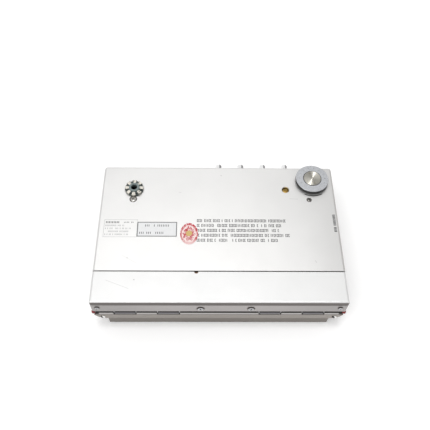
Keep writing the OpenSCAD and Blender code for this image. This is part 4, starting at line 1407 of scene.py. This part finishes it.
@dataclass
class Screws:
    """Cross-head screws of the cover and the band, seated where the solids' screws are, and of the deck, at
    listed spots under it.
    """

    head_h: float = 0.7
    deck_r: float = 1.6
    deck_spots: Tuple[Pair, ...] = (
        (-58.0, -18.0), (-30.0, 33.5), (-33.0, -20.0), (58.5, -18.0), (58.5, 25.0), (-58.0, 30.0))
    rust_share: Pair = (1.1, 1.3)
    rust_depth: float = 0.6
    cover_seed: int = 3
    band_seed: int = 11
    deck_seed: int = 5

    def build(self) -> None:
        """Make the three groups of screws."""
        tree = ScrewField()
        self._cover(tree)
        self._band(tree)
        self._deck(tree)

    def _cover(self, tree: ScrewField) -> None:
        """Make the cover's screws, the smaller of which is rusty.

        Args:
            tree: The tree that repeats a screw.
        """
        parts = Solid("cover_screws").parts()
        seats = [Seat((part.middle.x, part.middle.y, part.high.z - self.head_h), part.radius)
                 for part in parts]
        small = min(seats, key=lambda seat: seat.radius)
        top = parts[0].high.z
        rust = Grime(small.place, *(small.radius * share for share in self.rust_share), self.rust_depth,
                     tone=(0.07, 0.065, 0.06))
        plating = PlatedScrew("cover_screw_plating", (0.66, 0.645, 0.61), 0.28, (rust,), clean=top - 0.1,
                              dirty=top - 0.35)
        self._group(tree, "cover_screw_heads", ORIGIN, seats, plating, self.cover_seed,
                    "cover_screws")

    def _band(self, tree: ScrewField) -> None:
        """Make the screws of the band at the battery end, which face the near side.

        Args:
            tree: The tree that repeats a screw.
        """
        parts = Solid("frame_screws").parts()
        face = parts[0].low.y
        seats = [Seat((part.middle.x, part.middle.z, -face - self.head_h), part.radius) for part in parts]
        plating = PlatedScrew("frame_screw_plating", (0.60, 0.60, 0.62), 0.2, axis=Axis.Y, clean=face + 0.1,
                              dirty=face + 0.32)
        self._group(tree, "frame_screw_heads", (QUARTER_TURN, 0.0, 0.0), seats, plating, self.band_seed,
                    "frame_screws")

    def _deck(self, tree: ScrewField) -> None:
        """Make the deck's screws, which face down.

        Args:
            tree: The tree that repeats a screw.
        """
        deck = Solid("chassis")
        seats = [Seat((x, -y, -deck.underside(x, y)), self.deck_r) for x, y in self.deck_spots]
        under = -seats[0].place[2]
        plating = PlatedScrew("deck_screw_plating", (0.62, 0.60, 0.55), 0.3, clean=under - 0.55,
                              dirty=under - 0.2)
        self._group(tree, "deck_screw_heads", (math.pi, 0.0, 0.0), seats, plating, self.deck_seed)

    def _group(self, tree: ScrewField, name: str, facing: Point, seats: Sequence[Seat], finish: Finish,
               seed: int, *replaces: str) -> None:
        """Make one group of screws.

        Args:
            tree: The tree that repeats a screw.
            name: The group's name.
            facing: Turn of the whole group from Z.
            seats: The screws' seats before that turn.
            finish: The group's finish.
            seed: Seed of the screws' own turns.
            *replaces: The CAD node that the group stands for, if any.
        """
        meshes = []
        for radius in sorted({round(seat.radius, 2) for seat in seats}):
            screw = PanScrew(radius, self.head_h).build()
            spots = [Vector(seat.place) * MM for seat in seats if round(seat.radius, 2) == radius]
            meshes.append(tree.grow(name, finish, spots, screw=screw, facing=facing, seed=seed))
            bpy.data.objects.remove(screw)
        add_piece(Shape.join(name, meshes), Body.HOUSING, finish, "screw_metal", *replaces)


@dataclass(frozen=True)
class PrintBlock:
    """A block of plain ticks on the back: its middle from the left end and the far wall, and its rows."""

    name: str
    from_left: float
    from_far: float
    columns: int
    rows: int
    pitch: Pair
    tick: Pair
    gaps: float
    ragged: float
    seed: int
    turn: float = 0.0


@dataclass(frozen=True)
class Outline:
    """A printed rectangle on the back: its near left corner's place, its size and the width of its line."""

    name: str
    from_left: float
    from_far: float
    width: float
    depth: float
    line: float


@dataclass
class BackCover:
    """Back cover with its handling marks, grime and painted shade round what is set in it, and the plain
    print on it.
    """

    ink_lift: float = 0.02
    ink_sink: float = 0.01
    trimmer_hole: float = 2.05
    label: Outline = Outline("label_outline", 3.45, 48.1, 18.4, 11.2, 0.16)
    panel: Outline = Outline("panel_outline", 21.75, 47.8, 21.9, 9.4, 0.5)
    dark_blocks: Tuple[PrintBlock, ...] = (
        PrintBlock("notice_stems", 80.25, 43.7, 64, 5, (0.81, 3.14), (0.34, 1.75), 0.16, 7.0, 5),
        PrintBlock("notice_caps", 80.45, 42.95, 64, 5, (0.81, 3.14), (0.56, 0.34), 0.42, 7.0, 5),
        PrintBlock("notice_feet", 80.45, 44.45, 64, 5, (0.81, 3.14), (0.56, 0.34), 0.46, 7.0, 5),
        PrintBlock("label_head", 8.0, 38.7, 9, 1, (0.85, 1.0), (0.42, 1.2), 0.05, 0.0, 2),
        PrintBlock("label_code", 16.9, 38.7, 7, 1, (0.8, 1.0), (0.3, 0.8), 0.1, 0.0, 6),
        PrintBlock("panel_rows", 32.6, 43.1, 20, 2, (0.98, 4.7), (0.34, 1.3), 0.25, 7.0, 4),
        PrintBlock("side_row", 131.15, 38.7, 14, 1, (0.82, 1.0), (0.5, 1.5), 0.16, 0.0, 8, -QUARTER_TURN),
    )
    pale_blocks: Tuple[PrintBlock, ...] = (
        PrintBlock("label_rows", 12.15, 43.6, 26, 4, (0.62, 1.9), (0.3, 0.95), 0.24, 6.0, 9),
    )

    def __post_init__(self) -> None:
        """Read the cover's place from the frame."""
        cover = Solid("back_cover")
        self.left, self.right, self.far, self.top = cover.low.x, cover.high.x, cover.high.y, cover.high.z

    def spot(self, from_left: float, from_far: float) -> Point:
        """Return a place on the back from its distances to the left end and the far wall."""
        return (self.left + from_left, self.far - from_far, self.top)

    def scuff(self, start: Pair, end: Pair, width: float, depth: float) -> Scratch:
        """Return a scratch between two places, each by its distances to the left end and the far wall."""
        return Scratch(self.spot(*start), self.spot(*end), width, depth)

    def finish(self) -> Finish:
        """Collect the grime and painted shade round what is set in the cover, a few scuffs, and painted shade
        on its right end.

        Returns:
            The cover's finish.
        """
        dial, nut, brass = Solid("volume_dial"), Solid("jack_nut"), Solid("speed_trimmer")
        # Dark rings round the screws: grime, and painted shade in the gap round each head.
        marks: List[Mark] = [
            Grime((screw.middle.x, screw.middle.y, self.top), screw.radius + 0.1, screw.radius + 0.45, 0.75)
            for screw in Solid("cover_screws").parts()]
        marks += [
            # Painted shade on the floor of the arc groove by the dial, on its near side.
            Groove((dial.middle.x, dial.middle.y, self.top), dial.radius + 0.6, dial.radius + 1.2,
                   side=(0.0, -1.0, 0.0)),
            Grime(tuple(nut.middle), nut.radius, nut.radius + 0.8, 0.35),
            Grime(tuple(brass.middle), self.trimmer_hole, self.trimmer_hole + 0.45, 0.35),
            self.scuff((107.3, 22.4), (112.0, 22.6), 0.16, 0.3),
            self.scuff((14.9, 59.4), (22.8, 64.1), 0.16, 0.14),
            self.scuff((17.6, 60.9), (17.8, 61.0), 0.4, 0.3),
            self.scuff((68.1, 6.0), (68.7, 6.4), 0.4, 0.22),
            self.scuff((44.1, 18.2), (45.3, 18.4), 0.35, 0.16),
            self.scuff((118.0, 62.3), (118.6, 63.5), 0.3, 0.2),
            # Painted shade: the cover darkens towards its right end, and a dark painted reflection lies along
            # its right rounded edge.
            Shade(Axis.X, self.right - 24.0, self.right - 3.0, 0.14, (0.25, 0.245, 0.24)),
            Shade(Axis.X, self.right - 1.1, self.right - 0.4, 0.45, (0.20, 0.175, 0.15)),
        ]
        return SatinSheet("cover_satin", (0.80, 0.795, 0.785), 0.4, tuple(marks))

    def build(self) -> None:
        """Dress the cover and lay the print on it."""
        dress(self.finish(), "back_cover")
        dark = Ink("print_dark", (0.05, 0.05, 0.053), 0.5, rubbed=(0.22, 0.22, 0.22))
        pale = Ink("print_pale", (0.40, 0.40, 0.40), 0.5, rubbed=(0.60, 0.60, 0.59))
        soft = Ink("print_soft", (0.17, 0.175, 0.18), 0.5, rubbed=(0.30, 0.30, 0.30))
        tint = Ink("print_tint", (0.80, 0.805, 0.81), 0.5, rubbed=(0.74, 0.74, 0.74))
        self._outline(self.label, pale)
        self._outline(self.panel, soft)
        self._field(self.panel, tint)
        tree = TickRows()
        for ink, blocks in ((dark, self.dark_blocks), (pale, self.pale_blocks)):
            for block in blocks:
                self._block(tree, block, ink)

    def _sides(self, rect: Outline) -> Sides:
        """Return the left, near, right and far sides of a printed rectangle."""
        x, y, _ = self.spot(rect.from_left, rect.from_far)
        return (x, y, x + rect.width, y + rect.depth)

    def _outline(self, rect: Outline, ink: Ink) -> None:
        """Print a rectangle's outline."""
        mesh = Shape.border(rect.name, self._sides(rect), rect.line, self.top - self.ink_sink,
                            self.top + self.ink_lift)
        add_piece(mesh, Body.HOUSING, ink, "cover_metal")

    def _field(self, rect: Outline, ink: Ink) -> None:
        """Print the even field inside a rectangle's outline, thinner than what is printed over it.

        Args:
            rect: The rectangle.
            ink: The field's ink.
        """
        inside = Shape.rectangle(self._sides(rect), rect.line)
        mesh = Shape.prism(rect.name.replace("outline", "field"), inside, self.top - self.ink_sink,
                           self.top + self.ink_lift / 2)
        add_piece(mesh, Body.HOUSING, ink, "cover_metal")

    def _block(self, tree: TickRows, block: PrintBlock, ink: Ink) -> None:
        """Print a block of ticks.

        Args:
            tree: The tree that lays the ticks out.
            block: The block.
            ink: Its ink.
        """
        mesh = tree.grow(
            block.name, ink, columns=block.columns, rows=block.rows, turn=block.turn, gap_share=block.gaps,
            pitch=Vector((*block.pitch, 0.0)) * MM, tick=Vector((*block.tick, 2 * self.ink_lift)) * MM,
            origin=Vector(self.spot(block.from_left, block.from_far)) * MM, ragged=block.ragged * MM,
            seed=block.seed)
        add_piece(mesh, Body.HOUSING, ink, "cover_metal")


@dataclass
class PaperSeal:
    """Oval paper seal stuck on the back, of a plain design of its own."""

    from_left: float = 50.35
    from_far: float = 45.9
    half: Pair = (4.9, 6.8)
    lift: float = 0.06
    sink: float = 0.01
    steps: int = 96
    scallops: int = 24
    scallop_share: float = 0.012

    def build(self) -> None:
        """Make the seal."""
        x, y, z = BackCover().spot(self.from_left, self.from_far)
        outline = []
        for k in range(self.steps):
            turn = 2 * math.pi * k / self.steps
            swell = 1.0 + self.scallop_share * math.cos(self.scallops * turn)
            wide, deep = (half * swell for half in self.half)
            outline.append((x + wide * math.cos(turn), y + deep * math.sin(turn)))
        paper = SealPaper("seal_paper", (0.60, 0.012, 0.035), 0.42, centre=(x, y, z), half=self.half)
        add_piece(Shape.prism("paper_seal", outline, z - self.sink, z + self.lift), Body.HOUSING, paper,
                  "red_lacquer")


@dataclass
class BatteryEnd:
    """Battery lid, front frame, tray, contact and spring."""

    notch_from_left: float = 54.55
    seam_w: float = 0.6
    tab_w: float = 4.4
    tab_d: float = 3.4
    tab_h: float = 0.6
    tab_corner: float = 0.6
    sheet_t: float = 1.0
    turns: float = 5.0
    wire: float = 0.4
    narrow: float = 2.6
    tarnish_from: float = 22.0
    screw_dirt: float = 0.7

    def build(self) -> None:
        """Dress the lid, the frame and the tray, fit the latch tab and wind the spring."""
        lid = Solid("battery_lid")
        notch = (lid.low.x + self.notch_from_left, Solid("back_cover").low.y - self.seam_w, lid.high.z)
        self._lid(lid, notch)
        self._frame(lid)
        dress(Moulded("tray_plastic_black", (0.022, 0.022, 0.023), 0.5), "battery_tray")
        steel = RolledSteel("contact_steel", (0.70, 0.69, 0.66), 0.28, stain_share=0.15)
        dress(steel, "battery_contact")
        self._spring(steel)
        self._tab(notch)

    def _lid(self, lid: Solid, notch: Point) -> None:
        """Dress the lid, with two scratches, grime at its notch, and painted shade in its seam and on its
        near edge.

        Args:
            lid: The lid's solid.
            notch: Middle of its nail notch.
        """
        left, near, top = lid.low.x, lid.low.y, lid.high.z
        marks = (
            Scratch((left + 7.6, near + 12.9, top), (left + 19.6, near + 8.1, top), 0.16, 0.3),
            Scratch((left + 22.1, near + 13.2, top), (left + 22.3, near + 13.1, top), 0.36, 0.55),
            Grime(notch, 0.9, 1.5, 0.6, tone=(0.20, 0.10, 0.04)),
            # Painted shade in the seam: the lid is black past the cover's edge, over its latch tongue.
            Shade(Axis.Y, notch[1] - 0.02, notch[1] + 0.04, 0.97, (0.02, 0.017, 0.015)),
            # A dark painted reflection on the lid's near folded edge.
            Shade(Axis.Y, near + 0.55, near + 0.15, 0.9, (0.10, 0.083, 0.076)),
        )
        dress(SatinSheet("lid_satin", (0.79, 0.79, 0.785), 0.5, marks), "battery_lid")

    def _frame(self, lid: Solid) -> None:
        """Dress the frame, with grime and painted shade round its screws, and painted shade towards both
        ends.

        Args:
            lid: The lid's solid, which is as long as the frame.
        """
        # Dark rings round the screws: grime, and painted shade round each head.
        marks: List[Mark] = [
            Grime(screw.front, screw.radius, screw.radius + self.screw_dirt, 0.7, Axis.Y)
            for screw in Solid("frame_screws").parts()]
        # Painted shade towards both ends, a painted reflection of darker surroundings.
        marks += [Shade(Axis.X, side * self.tarnish_from, side * lid.high.x, 0.35, (0.20, 0.195, 0.19))
                  for side in (-1, 1)]
        # The frame's tone is a darker copy of the silver sheet: painted shade of the near face.
        dress(SatinSheet("frame_satin", (0.435, 0.41, 0.405), 0.36, tuple(marks)), "front_frame")

    def _spring(self, steel: Finish) -> None:
        """Wind the battery spring in the place of the solids' one.

        Args:
            steel: The spring's finish.
        """
        solid = Solid("battery_spring")
        start = Vector((solid.low.x + self.wire, solid.middle.y, solid.middle.z))
        wide = (solid.high.z - solid.low.z) / 2 - self.wire
        mesh = WireCoil().grow(
            "battery_coil", steel, turns=self.turns, start_radius=wide * MM, end_radius=self.narrow * MM,
            length=(solid.length - 2 * self.wire) * MM, wire=self.wire * MM, origin=start * MM,
            facing=(0.0, QUARTER_TURN, 0.0))
        add_piece(mesh, Body.HOUSING, steel, "screw_metal", "battery_spring")

    def _tab(self, notch: Point) -> None:
        """Fit the lid's latch tab behind its notch.

        Args:
            notch: Middle of the lid's nail notch.
        """
        x, y, z = notch
        half, cut = self.tab_w / 2, self.tab_corner
        outline = [(x - half, y - self.tab_d), (x + half, y - self.tab_d), (x + half, y - cut),
                   (x + half - cut, y), (x - half + cut, y), (x - half, y - cut)]
        fibre = Moulded("fibre_brown", (0.24, 0.11, 0.045), 0.6, grain=0.9)
        under = z - self.sheet_t
        mesh = Shape.prism("latch_tab", outline, under - self.tab_h, under)
        add_piece(mesh, Body.LID, fibre, "tray_plastic")


@dataclass
class HingeEnd:
    """Hinge leaves, pin and its red ends."""

    ball_r: float = 1.35
    neck_r: float = 0.95
    neck_l: float = 0.3
    overhang: float = 0.6
    steps: int = 32
    over_gap: Pair = (0.75, 1.1)
    under_gap: Pair = (-0.75, -1.2)
    crest_rise: Pair = (0.2, 0.4)
    end_gap: Pair = (2.0, 1.2)

    def build(self) -> None:
        """Dress the hinge with painted shade and a painted highlight on its knuckles, and turn the pin's red
        ends.
        """
        middle = Solid("hinge_pin").middle.z
        leaf = Solid("door_hinge_leaf")
        # Painted shade in the gaps over and under the knuckles and at the door leaf's foot, and a painted
        # highlight along the crest of its knuckles.
        over = Shade(Axis.Z, *(middle + gap for gap in self.over_gap), 0.95)
        under = Shade(Axis.Z, *(middle + gap for gap in self.under_gap), 0.9)
        foot = Shade(Axis.Z, *(middle + gap for gap in self.under_gap), 0.6)
        crest = Shade(Axis.Z, *(middle + gap for gap in self.crest_rise), 0.45, (0.80, 0.79, 0.77))
        # Painted shade at both ends of the door leaf, next to the red ends.
        ends = (Shade(Axis.X, *(leaf.low.x + gap for gap in self.end_gap), 0.92),
                Shade(Axis.X, *(leaf.high.x - gap for gap in self.end_gap), 0.92))
        marks = (crest, over, foot, *ends)
        dress(RolledSteel("leaf_steel", (0.33, 0.305, 0.30), 0.34, marks), "door_hinge_leaf")
        dress(RolledSteel("frame_leaf_steel", (0.25, 0.24, 0.25), 0.36, (over, under)), "frame_hinge_leaf")
        dress(RolledSteel("pin_steel", (0.5, 0.5, 0.5), 0.3), "hinge_pin")
        self._red_ends()
        self._door_screws()

    def _door_screws(self) -> None:
        """Dress the two bright screws of the door, with painted shadow on their left sides."""
        heads = Solid("door_screws")
        near = heads.low.y
        black = (0.02, 0.017, 0.014)
        # Painted shadow: a dark ring at each head's left edge; the plating adds painted shade behind the
        # head's front.
        dirt = tuple(Grime((head.low.x, head.low.y, head.middle.z), 1.2, 1.7, 0.95, Axis.Y, black)
                     for head in heads.parts())
        dress(PlatedScrew("door_screw_plating", (0.92, 0.91, 0.89), 0.14, dirt, axis=Axis.Y, clean=near + 0.8,
                          dirty=near + 1.2), "door_screws")

    def _red_ends(self) -> None:
        """Turn the two lacquered ends of the pin, each a short neck and a flattened ball."""
        red = Moulded("red_lacquer_gloss", (0.22, 0.003, 0.006), 0.26, grain=0.8, relief=4.0, polish=0.05,
                      coat=0.3)
        turns = [math.radians(a) for a in range(-45, 90, 15)]
        meshes = []
        for cap, side in zip(Solid("hinge_pin_caps").parts(), (-1, 1)):
            start = cap.low.x if side > 0 else cap.high.x
            length = cap.length + self.overhang
            ball = (length - self.neck_l) / 2
            round_end = [(self.ball_r * math.cos(t), self.neck_l + ball * (1 + math.sin(t))) for t in turns]
            profile = [(0.0, 0.0), (self.neck_r, 0.0), *round_end, (0.0, length)]
            mesh = Shape.lathe("red_end", profile, self.steps)
            place = Vector((start, cap.middle.y, cap.middle.z)) * MM
            mesh.transform(Matrix.Translation(place) @ Matrix.Rotation(side * QUARTER_TURN, 4, "Y"))
            mesh.shade_smooth()
            meshes.append(mesh)
        add_piece(Shape.join("hinge_red_ends", meshes), Body.DOOR, red, "red_lacquer", "hinge_pin_caps")


@dataclass
class Door:
    """Door shell, its window and the springs behind it."""

    shoulder_z: float = 10.4
    shade_h: float = 1.4

    def build(self) -> None:
        """Dress the door."""
        # Painted shade: the door darkens below its shoulder. Its tone is a darker copy of the silver sheet,
        # painted shade of the near face.
        low = Shade(Axis.Z, self.shoulder_z, self.shoulder_z - self.shade_h, 0.5, (0.13, 0.115, 0.10))
        dress(SatinSheet("door_satin", (0.325, 0.297, 0.272), 0.4, (low,)), "door_shell")
        dress(Pane("pane_tint", (0.62, 0.65, 0.67), 0.06), "door_window")
        dress(RolledSteel("spring_steel", (0.66, 0.67, 0.69), 0.28, axis=Axis.Y), "cassette_springs",
              "door_catches")


@dataclass
class VolumeDial:
    """Volume dial with its scale, its ribbed edge and its spun cap."""

    ribs: int = 110
    rib: Point = (0.2, 0.28, 0.95)
    rib_sink: float = 0.02
    chamfer: float = 0.35
    scale_inset: float = 2.15
    tick: Point = (0.5, 0.12, 0.03)
    tick_inset: float = 0.75
    first: float = 205.0
    step: float = -25.6
    numbers: int = 10
    number_size: float = 1.45
    number_lift: float = 0.015

    def build(self) -> None:
        """Dress the dial and make its scale and its ribs."""
        solid = Solid("volume_dial")
        centre, radius, top = Vector(solid.top), solid.radius, solid.top
        rim = top[2] - self.chamfer
        dress(DialMetal("dial_satin", (0.61, 0.625, 0.65), 0.36, centre=top, face_z=rim), "volume_dial")
        dress(SpunMetal("cap_spun", (0.78, 0.755, 0.68), 0.38, centre=top, anisotropy=1.0), "dial_cap")
        dress(Moulded("pot_case", (0.10, 0.10, 0.10), 0.45), "volume_pot")
        tree = TickRing()
        edge = Moulded("dial_edge", (0.012, 0.012, 0.012), 0.6)
        mesh = tree.grow(
            "dial_ribs", edge, count=self.ribs, radius=(radius - self.rib_sink) * MM, start=0.0,
            step=2 * math.pi / self.ribs, tick=Vector(self.rib) * MM,
            centre=Vector((centre.x, centre.y, rim - self.rib[2] / 2)) * MM)
        add_piece(mesh, Body.DIAL, edge, "dial_metal")
        ink = Ink("dial_ink", (0.25, 0.26, 0.28), 0.5, rubbed=(0.42, 0.43, 0.45))
        mesh = tree.grow(
            "dial_ticks", ink, count=2 * self.numbers - 1, radius=(radius - self.tick_inset) * MM,
            start=math.radians(self.first), step=math.radians(self.step / 2), tick=Vector(self.tick) * MM,
            centre=centre * MM)
        add_piece(mesh, Body.DIAL, ink, "dial_metal")
        add_piece(self._numbers(centre, radius - self.scale_inset), Body.DIAL, ink, "dial_metal")

    def _numbers(self, centre: Vector, radius: float) -> Mesh:
        """Set the plain numbers of the scale.

        Args:
            centre: Middle of the dial's face.
            radius: Distance of the numbers from it.

        Returns:
            All of them as one mesh, in metres.
        """
        meshes = []
        for k in range(self.numbers):
            turn = math.radians(self.first + k * self.step)
            data = bpy.data.curves.new("number", "FONT")
            data.body, data.size, data.extrude = str(k), self.number_size * MM, self.number_lift * MM
            data.align_x, data.align_y, data.resolution_u = "CENTER", "CENTER", 3
            obj = put("number", data)
            mesh = plain_mesh(obj)
            spot = (centre + radius * Vector((math.cos(turn), math.sin(turn), 0.0))) * MM
            mesh.transform(Matrix.Translation(spot) @ Matrix.Rotation(turn - QUARTER_TURN, 4, "Z"))
            meshes.append(mesh)
            bpy.data.objects.remove(obj)
        return Shape.join("dial_numbers", meshes)


@dataclass
class HeadphoneJack:
    """Headphone socket, its ring nut, and the brass trimmer in its own hole."""

    bore_r: float = 1.8
    lit_depth: float = 1.5
    margin: float = 0.05

    def build(self) -> None:
        """Dress the socket, the nut and the trimmer."""
        nut, brass = Solid("jack_nut"), Solid("speed_trimmer")
        dark_from = Solid("jack_socket").high.z - self.lit_depth
        dress(WornNut("nut_worn", (0.10, 0.12, 0.115), 0.4, centre=nut.top), "jack_nut")
        # Painted shade: the bore is black below its lit depth. An inner edge below zero fills the bore up to
        # its middle.
        deep = Groove((nut.middle.x, nut.middle.y, dark_from), -1.0, self.bore_r + self.margin,
                      tone=(0.004, 0.004, 0.004))
        dress(Moulded("socket_bush", (0.15, 0.19, 0.19), 0.34, (deep,), grain=1.2, coat=0.3), "jack_socket")
        dress(SpunMetal("trimmer_brass", (0.62, 0.42, 0.13), 0.32, centre=brass.top, pitch=0.3,
                        anisotropy=0.2), "speed_trimmer")


@dataclass
class KeySprings:
    """Comb of leaf springs behind the key stems: a rail under the roof, and a leaf for each key."""

    rail_t: float = 0.4
    leaf_w: float = 3.0
    leaf_t: float = 0.25
    bend_h: float = 0.45
    corner: float = 0.4
    steps: int = 8

    def build(self) -> None:
        """Make the rail and the four leaves."""
        comb = Solid("key_springs")
        steel = RolledSteel("leaf_spring_steel", (0.64, 0.63, 0.60), 0.3, axis=Axis.Z)
        low, high, cut = comb.low, comb.high, self.corner
        outline = [(low.x + cut, low.y), (high.x - cut, low.y), (high.x, low.y + cut), (high.x, high.y),
                   (low.x, high.y), (low.x, low.y + cut)]
        rail = Shape.prism("key_spring_rail", outline, high.z - self.rail_t, high.z)
        add_piece(rail, Body.HOUSING, steel, "steel", "key_springs")
        for key in KEYS:
            root = Vector((Solid(key.value).middle.x, low.y, high.z - self.rail_t))
            mesh = self._leaf(key.value.replace("_key", "_leaf"), root, root.z - low.z)
            leaf = make_piece(mesh, steel)
            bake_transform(leaf)

    def _leaf(self, name: str, root: Vector, length: float) -> Mesh:
        """Make a leaf that hangs from the rail, with a round end.

        Args:
            name: The mesh's name.
            root: Middle of its root, on the side away from the key.
            length: Its length below the rail.

        Returns:
            The mesh, in metres.
        """
        half = self.leaf_w / 2
        rows = [(half, root.z + self.rail_t / 2)]
        rows += [(half, root.z - self.bend_h * k / self.steps) for k in range(self.steps + 1)]
        for k in range(self.steps):
            turn = QUARTER_TURN * k / self.steps
            rows.append((half * math.cos(turn), root.z - length + half * (1 - math.sin(turn))))
        near, far = root.y, root.y + self.leaf_t
        rings = [[(x, y, z) for x, y in Shape.rectangle((root.x - wide, near, root.x + wide, far))]
                 for wide, z in reversed(rows)]
        return Shape.loft(name, rings)


@dataclass
class Transport:
    """Keys, deck, reels, head, drive and electronics."""

    flank_from: float = 0.1
    flank_to: float = 0.9

    def build(self) -> None:
        """Dress everything that moves the tape."""
        for key in KEYS:
            name = key.value
            middle = Solid(name).middle.x
            # Painted shade on the right flank of each key.
            flank_shade = Shade(Axis.X, middle + self.flank_from, middle + self.flank_to, 0.85, (0.10, 0.10, 0.10))
            dress(SatinSheet(name + "_satin", (0.90, 0.90, 0.90), 0.3, (flank_shade,), metallic=0.5), name)
        dress(Moulded("deck_paint", (0.24, 0.24, 0.25), 0.42, grain=1.2, relief=20.0), "chassis",
              "flywheel_bridge", "key_bracket")
        dress(RolledSteel("bridge_steel", (0.64, 0.63, 0.60), 0.3), "head_bridge", "pinch_arm")
        dress(RolledSteel("head_polish", (0.72, 0.72, 0.74), 0.16, axis=Axis.Y, stain_share=0.05),
              "tape_head")
        dress(Moulded("reel_ivory", (0.72, 0.71, 0.66), 0.35), "takeup_spindle", "supply_spindle",
              "takeup_table", "supply_table", "idler_wheel")
        for name, node, tone, rough in (
                ("flywheel_brass", "flywheel", (0.70, 0.52, 0.24), 0.28),
                ("pulley_brass", "motor_pulley", (0.72, 0.54, 0.26), 0.26),
                ("bearing_bronze", "capstan_bearing", (0.55, 0.36, 0.18), 0.32),
                ("capstan_ground", "capstan", (0.72, 0.72, 0.73), 0.16)):
            dress(SpunMetal(name, tone, rough, centre=Solid(node).top), node)
        dress(RolledSteel("motor_case", (0.60, 0.61, 0.62), 0.3, axis=Axis.Z), "motor_can")
        dress(Moulded("rubber_black", (0.018, 0.018, 0.018), 0.62, grain=2.4, relief=30.0, polish=0.05),
              "drive_belt", "idler_tyre", "pinch_roller")
        dress(Laminate("board_green", (0.045, 0.13, 0.055), 0.4), "main_board")
        dress(Moulded("component_black", (0.03, 0.03, 0.035), 0.4), "board_components")


def main() -> None:
    """Build the studio and every group of the player, in order."""
    logging.basicConfig(level=logging.INFO, format="%(name)s: %(message)s")
    groups = (Studio(), BackCover(), PaperSeal(), Screws(), BatteryEnd(), HingeEnd(), Door(), VolumeDial(),
              HeadphoneJack(), KeySprings(), Transport())
    for group in groups:
        group.build()
        LOG.info("finished %s", type(group).__name__)


if __name__ == "__main__":
    main()
